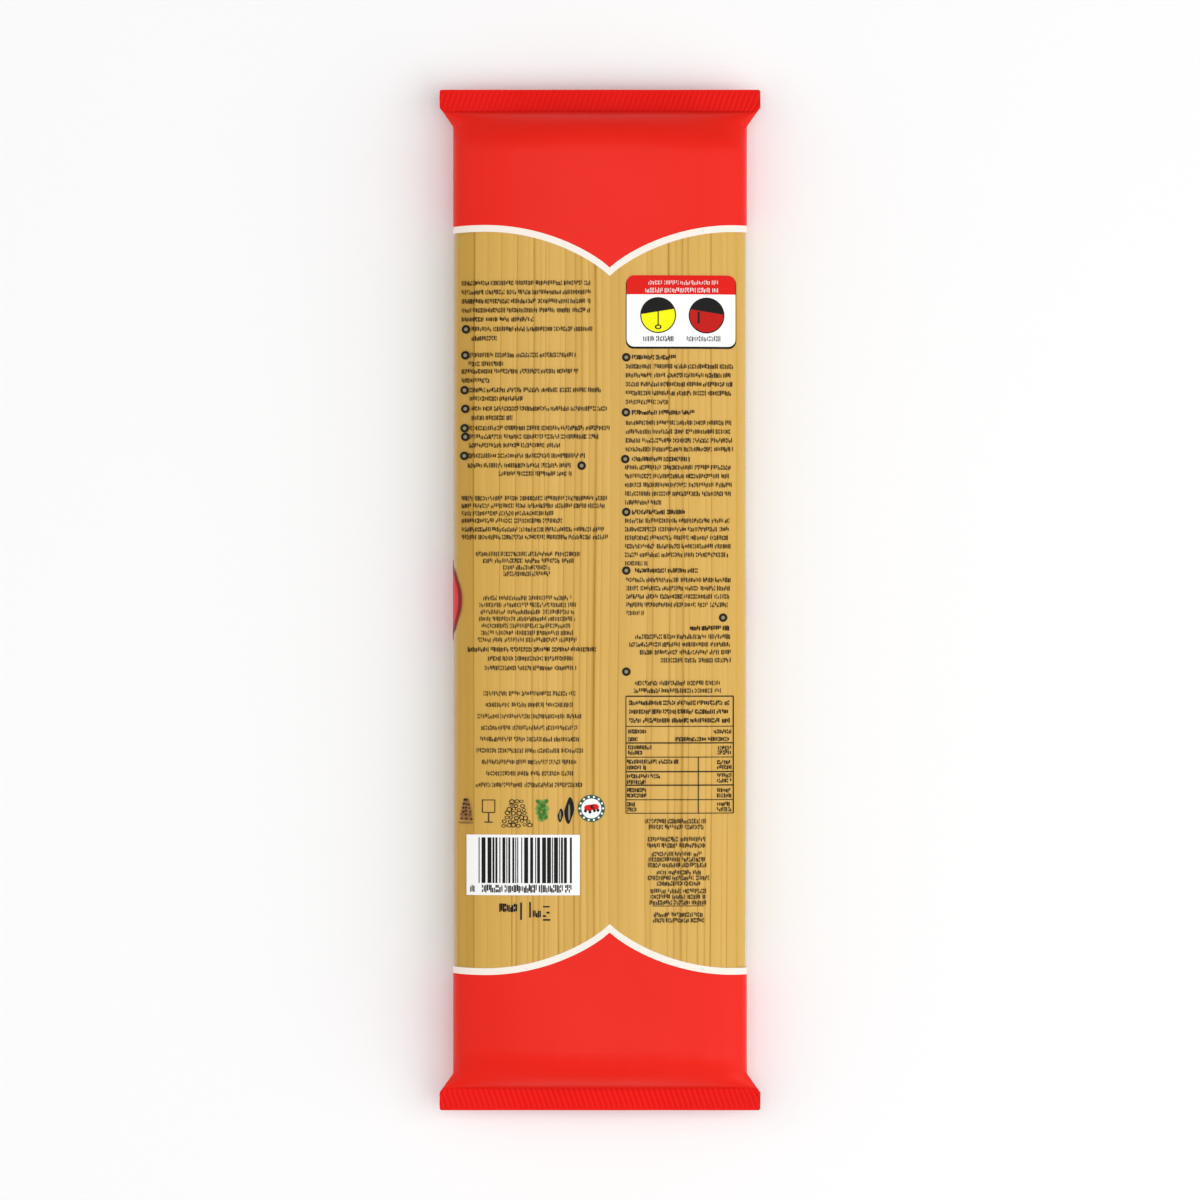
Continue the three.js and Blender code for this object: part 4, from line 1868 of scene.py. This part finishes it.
def floor_material():
    """A pale floor with a very slight unevenness."""
    material, output = new_material("pale_floor")
    tree = material.node_tree
    place = add_node(tree, "ShaderNodeTexCoord", "place")
    noise = add_node(tree, "ShaderNodeTexNoise", "unevenness")
    socket(noise, "Scale", 3.0)
    tint = add_node(tree, "ShaderNodeMix", "tint", data_type="RGBA")
    socket(tint, "A", (0.97, 0.97, 0.97, 1.0))
    socket(tint, "B", (0.95, 0.95, 0.95, 1.0))
    shader = add_node(tree, "ShaderNodeBsdfPrincipled", "floor")
    socket(shader, "Roughness", 0.9)
    socket(shader, "Specular IOR Level", 0.1)
    tree.links.new(place.outputs["Object"], noise.inputs["Vector"])
    tree.links.new(noise.outputs["Fac"], tint.inputs["Factor"])
    tree.links.new(tint.outputs["Result"], shader.inputs["Base Color"])
    tree.links.new(shader.outputs["BSDF"], output.inputs["Surface"])
    return material


def add_light(name, place, size, power):
    """A soft square light that faces the packet."""
    light = bpy.data.lights.new(name, "AREA")
    light.shape = "SQUARE"
    light.size = size
    light.energy = power
    lamp = bpy.data.objects.new(name, light)
    bpy.context.scene.collection.objects.link(lamp)
    lamp.location = place
    lamp.rotation_euler = (-Vector(place)).to_track_quat("-Z", "Y").to_euler()
    lamp.visible_camera = False
    return lamp


def add_sky(strength):
    """An even pale room."""
    world = bpy.data.worlds.new("room")
    world.use_nodes = True
    tree = world.node_tree
    tree.nodes.clear()
    output = add_node(tree, "ShaderNodeOutputWorld", "output")
    background = add_node(tree, "ShaderNodeBackground", "room light")
    socket(background, "Color", (1.0, 1.0, 1.0, 1.0))
    socket(background, "Strength", strength)
    tree.links.new(background.outputs["Background"], output.inputs["Surface"])
    bpy.context.scene.world = world


class PACKET_OT_stage(bpy.types.Operator):
    """Sets up the pale floor, the soft lights and the camera above the packet"""

    bl_idname = "pasta_packet.stage"
    bl_label = "Stage"

    def execute(self, context):
        scene = context.scene
        settings = scene.packet_stage
        begin()
        bpy.ops.mesh.primitive_plane_add(size=FLOOR_SIZE)
        floor = context.active_object
        floor.name = "floor"
        floor.data.materials.append(floor_material())
        add_light("key_light", KEY_PLACE, SIDE_LIGHT_SIZE, settings.key_power)
        add_light("fill_light", FILL_PLACE, SIDE_LIGHT_SIZE, settings.fill_power)
        add_light("top_light", TOP_PLACE, TOP_LIGHT_SIZE, settings.top_power)
        add_sky(settings.sky)

        camera = bpy.data.cameras.new("camera")
        camera.lens = settings.lens
        camera.sensor_width = SENSOR_WIDTH
        eye = bpy.data.objects.new("camera", camera)
        scene.collection.objects.link(eye)
        distance = settings.picture_width * settings.lens / camera.sensor_width
        eye.location = (0.0, 0.0, scene.packet_sizes.widest_level + distance)
        scene.camera = eye
        scene.view_settings.view_transform = "Standard"
        return {"FINISHED"}


# Sidebar

STEPS = (
    PACKET_OT_film,
    PACKET_OT_seals,
    PACKET_OT_strands,
    PACKET_OT_small_print,
    PACKET_OT_panel,
    PACKET_OT_table,
    PACKET_OT_bars,
    PACKET_OT_signs,
    PACKET_OT_front_band,
    PACKET_OT_stage,
)

GROUPS = {
    "packet_sizes": PacketSizes,
    "packet_bands": BandSizes,
    "packet_print": PrintSizes,
    "packet_panel": PanelSizes,
    "packet_strands": StrandSizes,
    "packet_colours": PacketColours,
    "packet_stage": StageSettings,
}


class PACKET_PT_sidebar(bpy.types.Panel):
    """The steps of the packet, and the sizes and colours that they use"""

    bl_idname = "PACKET_PT_sidebar"
    bl_label = "Pasta Packet"
    bl_space_type = "VIEW_3D"
    bl_region_type = "UI"
    bl_category = "Packet"

    def draw(self, context):
        for step in STEPS:
            self.layout.operator(step.bl_idname)
        for name, group in GROUPS.items():
            box = self.layout.box()
            box.label(text=group.__doc__)
            for prop in group.__annotations__:
                box.prop(getattr(context.scene, name), prop)


def register():
    """Registers the classes and gives the scene its settings."""
    for kind in (*GROUPS.values(), *STEPS, PACKET_PT_sidebar):
        bpy.utils.register_class(kind)
    for name, group in GROUPS.items():
        setattr(bpy.types.Scene, name, PointerProperty(type=group))


def unregister():
    """Takes the settings and the classes out again."""
    for name in GROUPS:
        delattr(bpy.types.Scene, name)
    for kind in (PACKET_PT_sidebar, *reversed(STEPS), *GROUPS.values()):
        bpy.utils.unregister_class(kind)


def main():
    """Builds the packet step by step."""
    register()
    bpy.ops.pasta_packet.film()
    bpy.ops.pasta_packet.seals()
    bpy.ops.pasta_packet.strands()
    bpy.ops.pasta_packet.small_print()
    bpy.ops.pasta_packet.panel()
    bpy.ops.pasta_packet.table()
    bpy.ops.pasta_packet.bars()
    bpy.ops.pasta_packet.signs()
    bpy.ops.pasta_packet.front_band()
    bpy.ops.pasta_packet.stage()


if __name__ == "__main__":
    main()
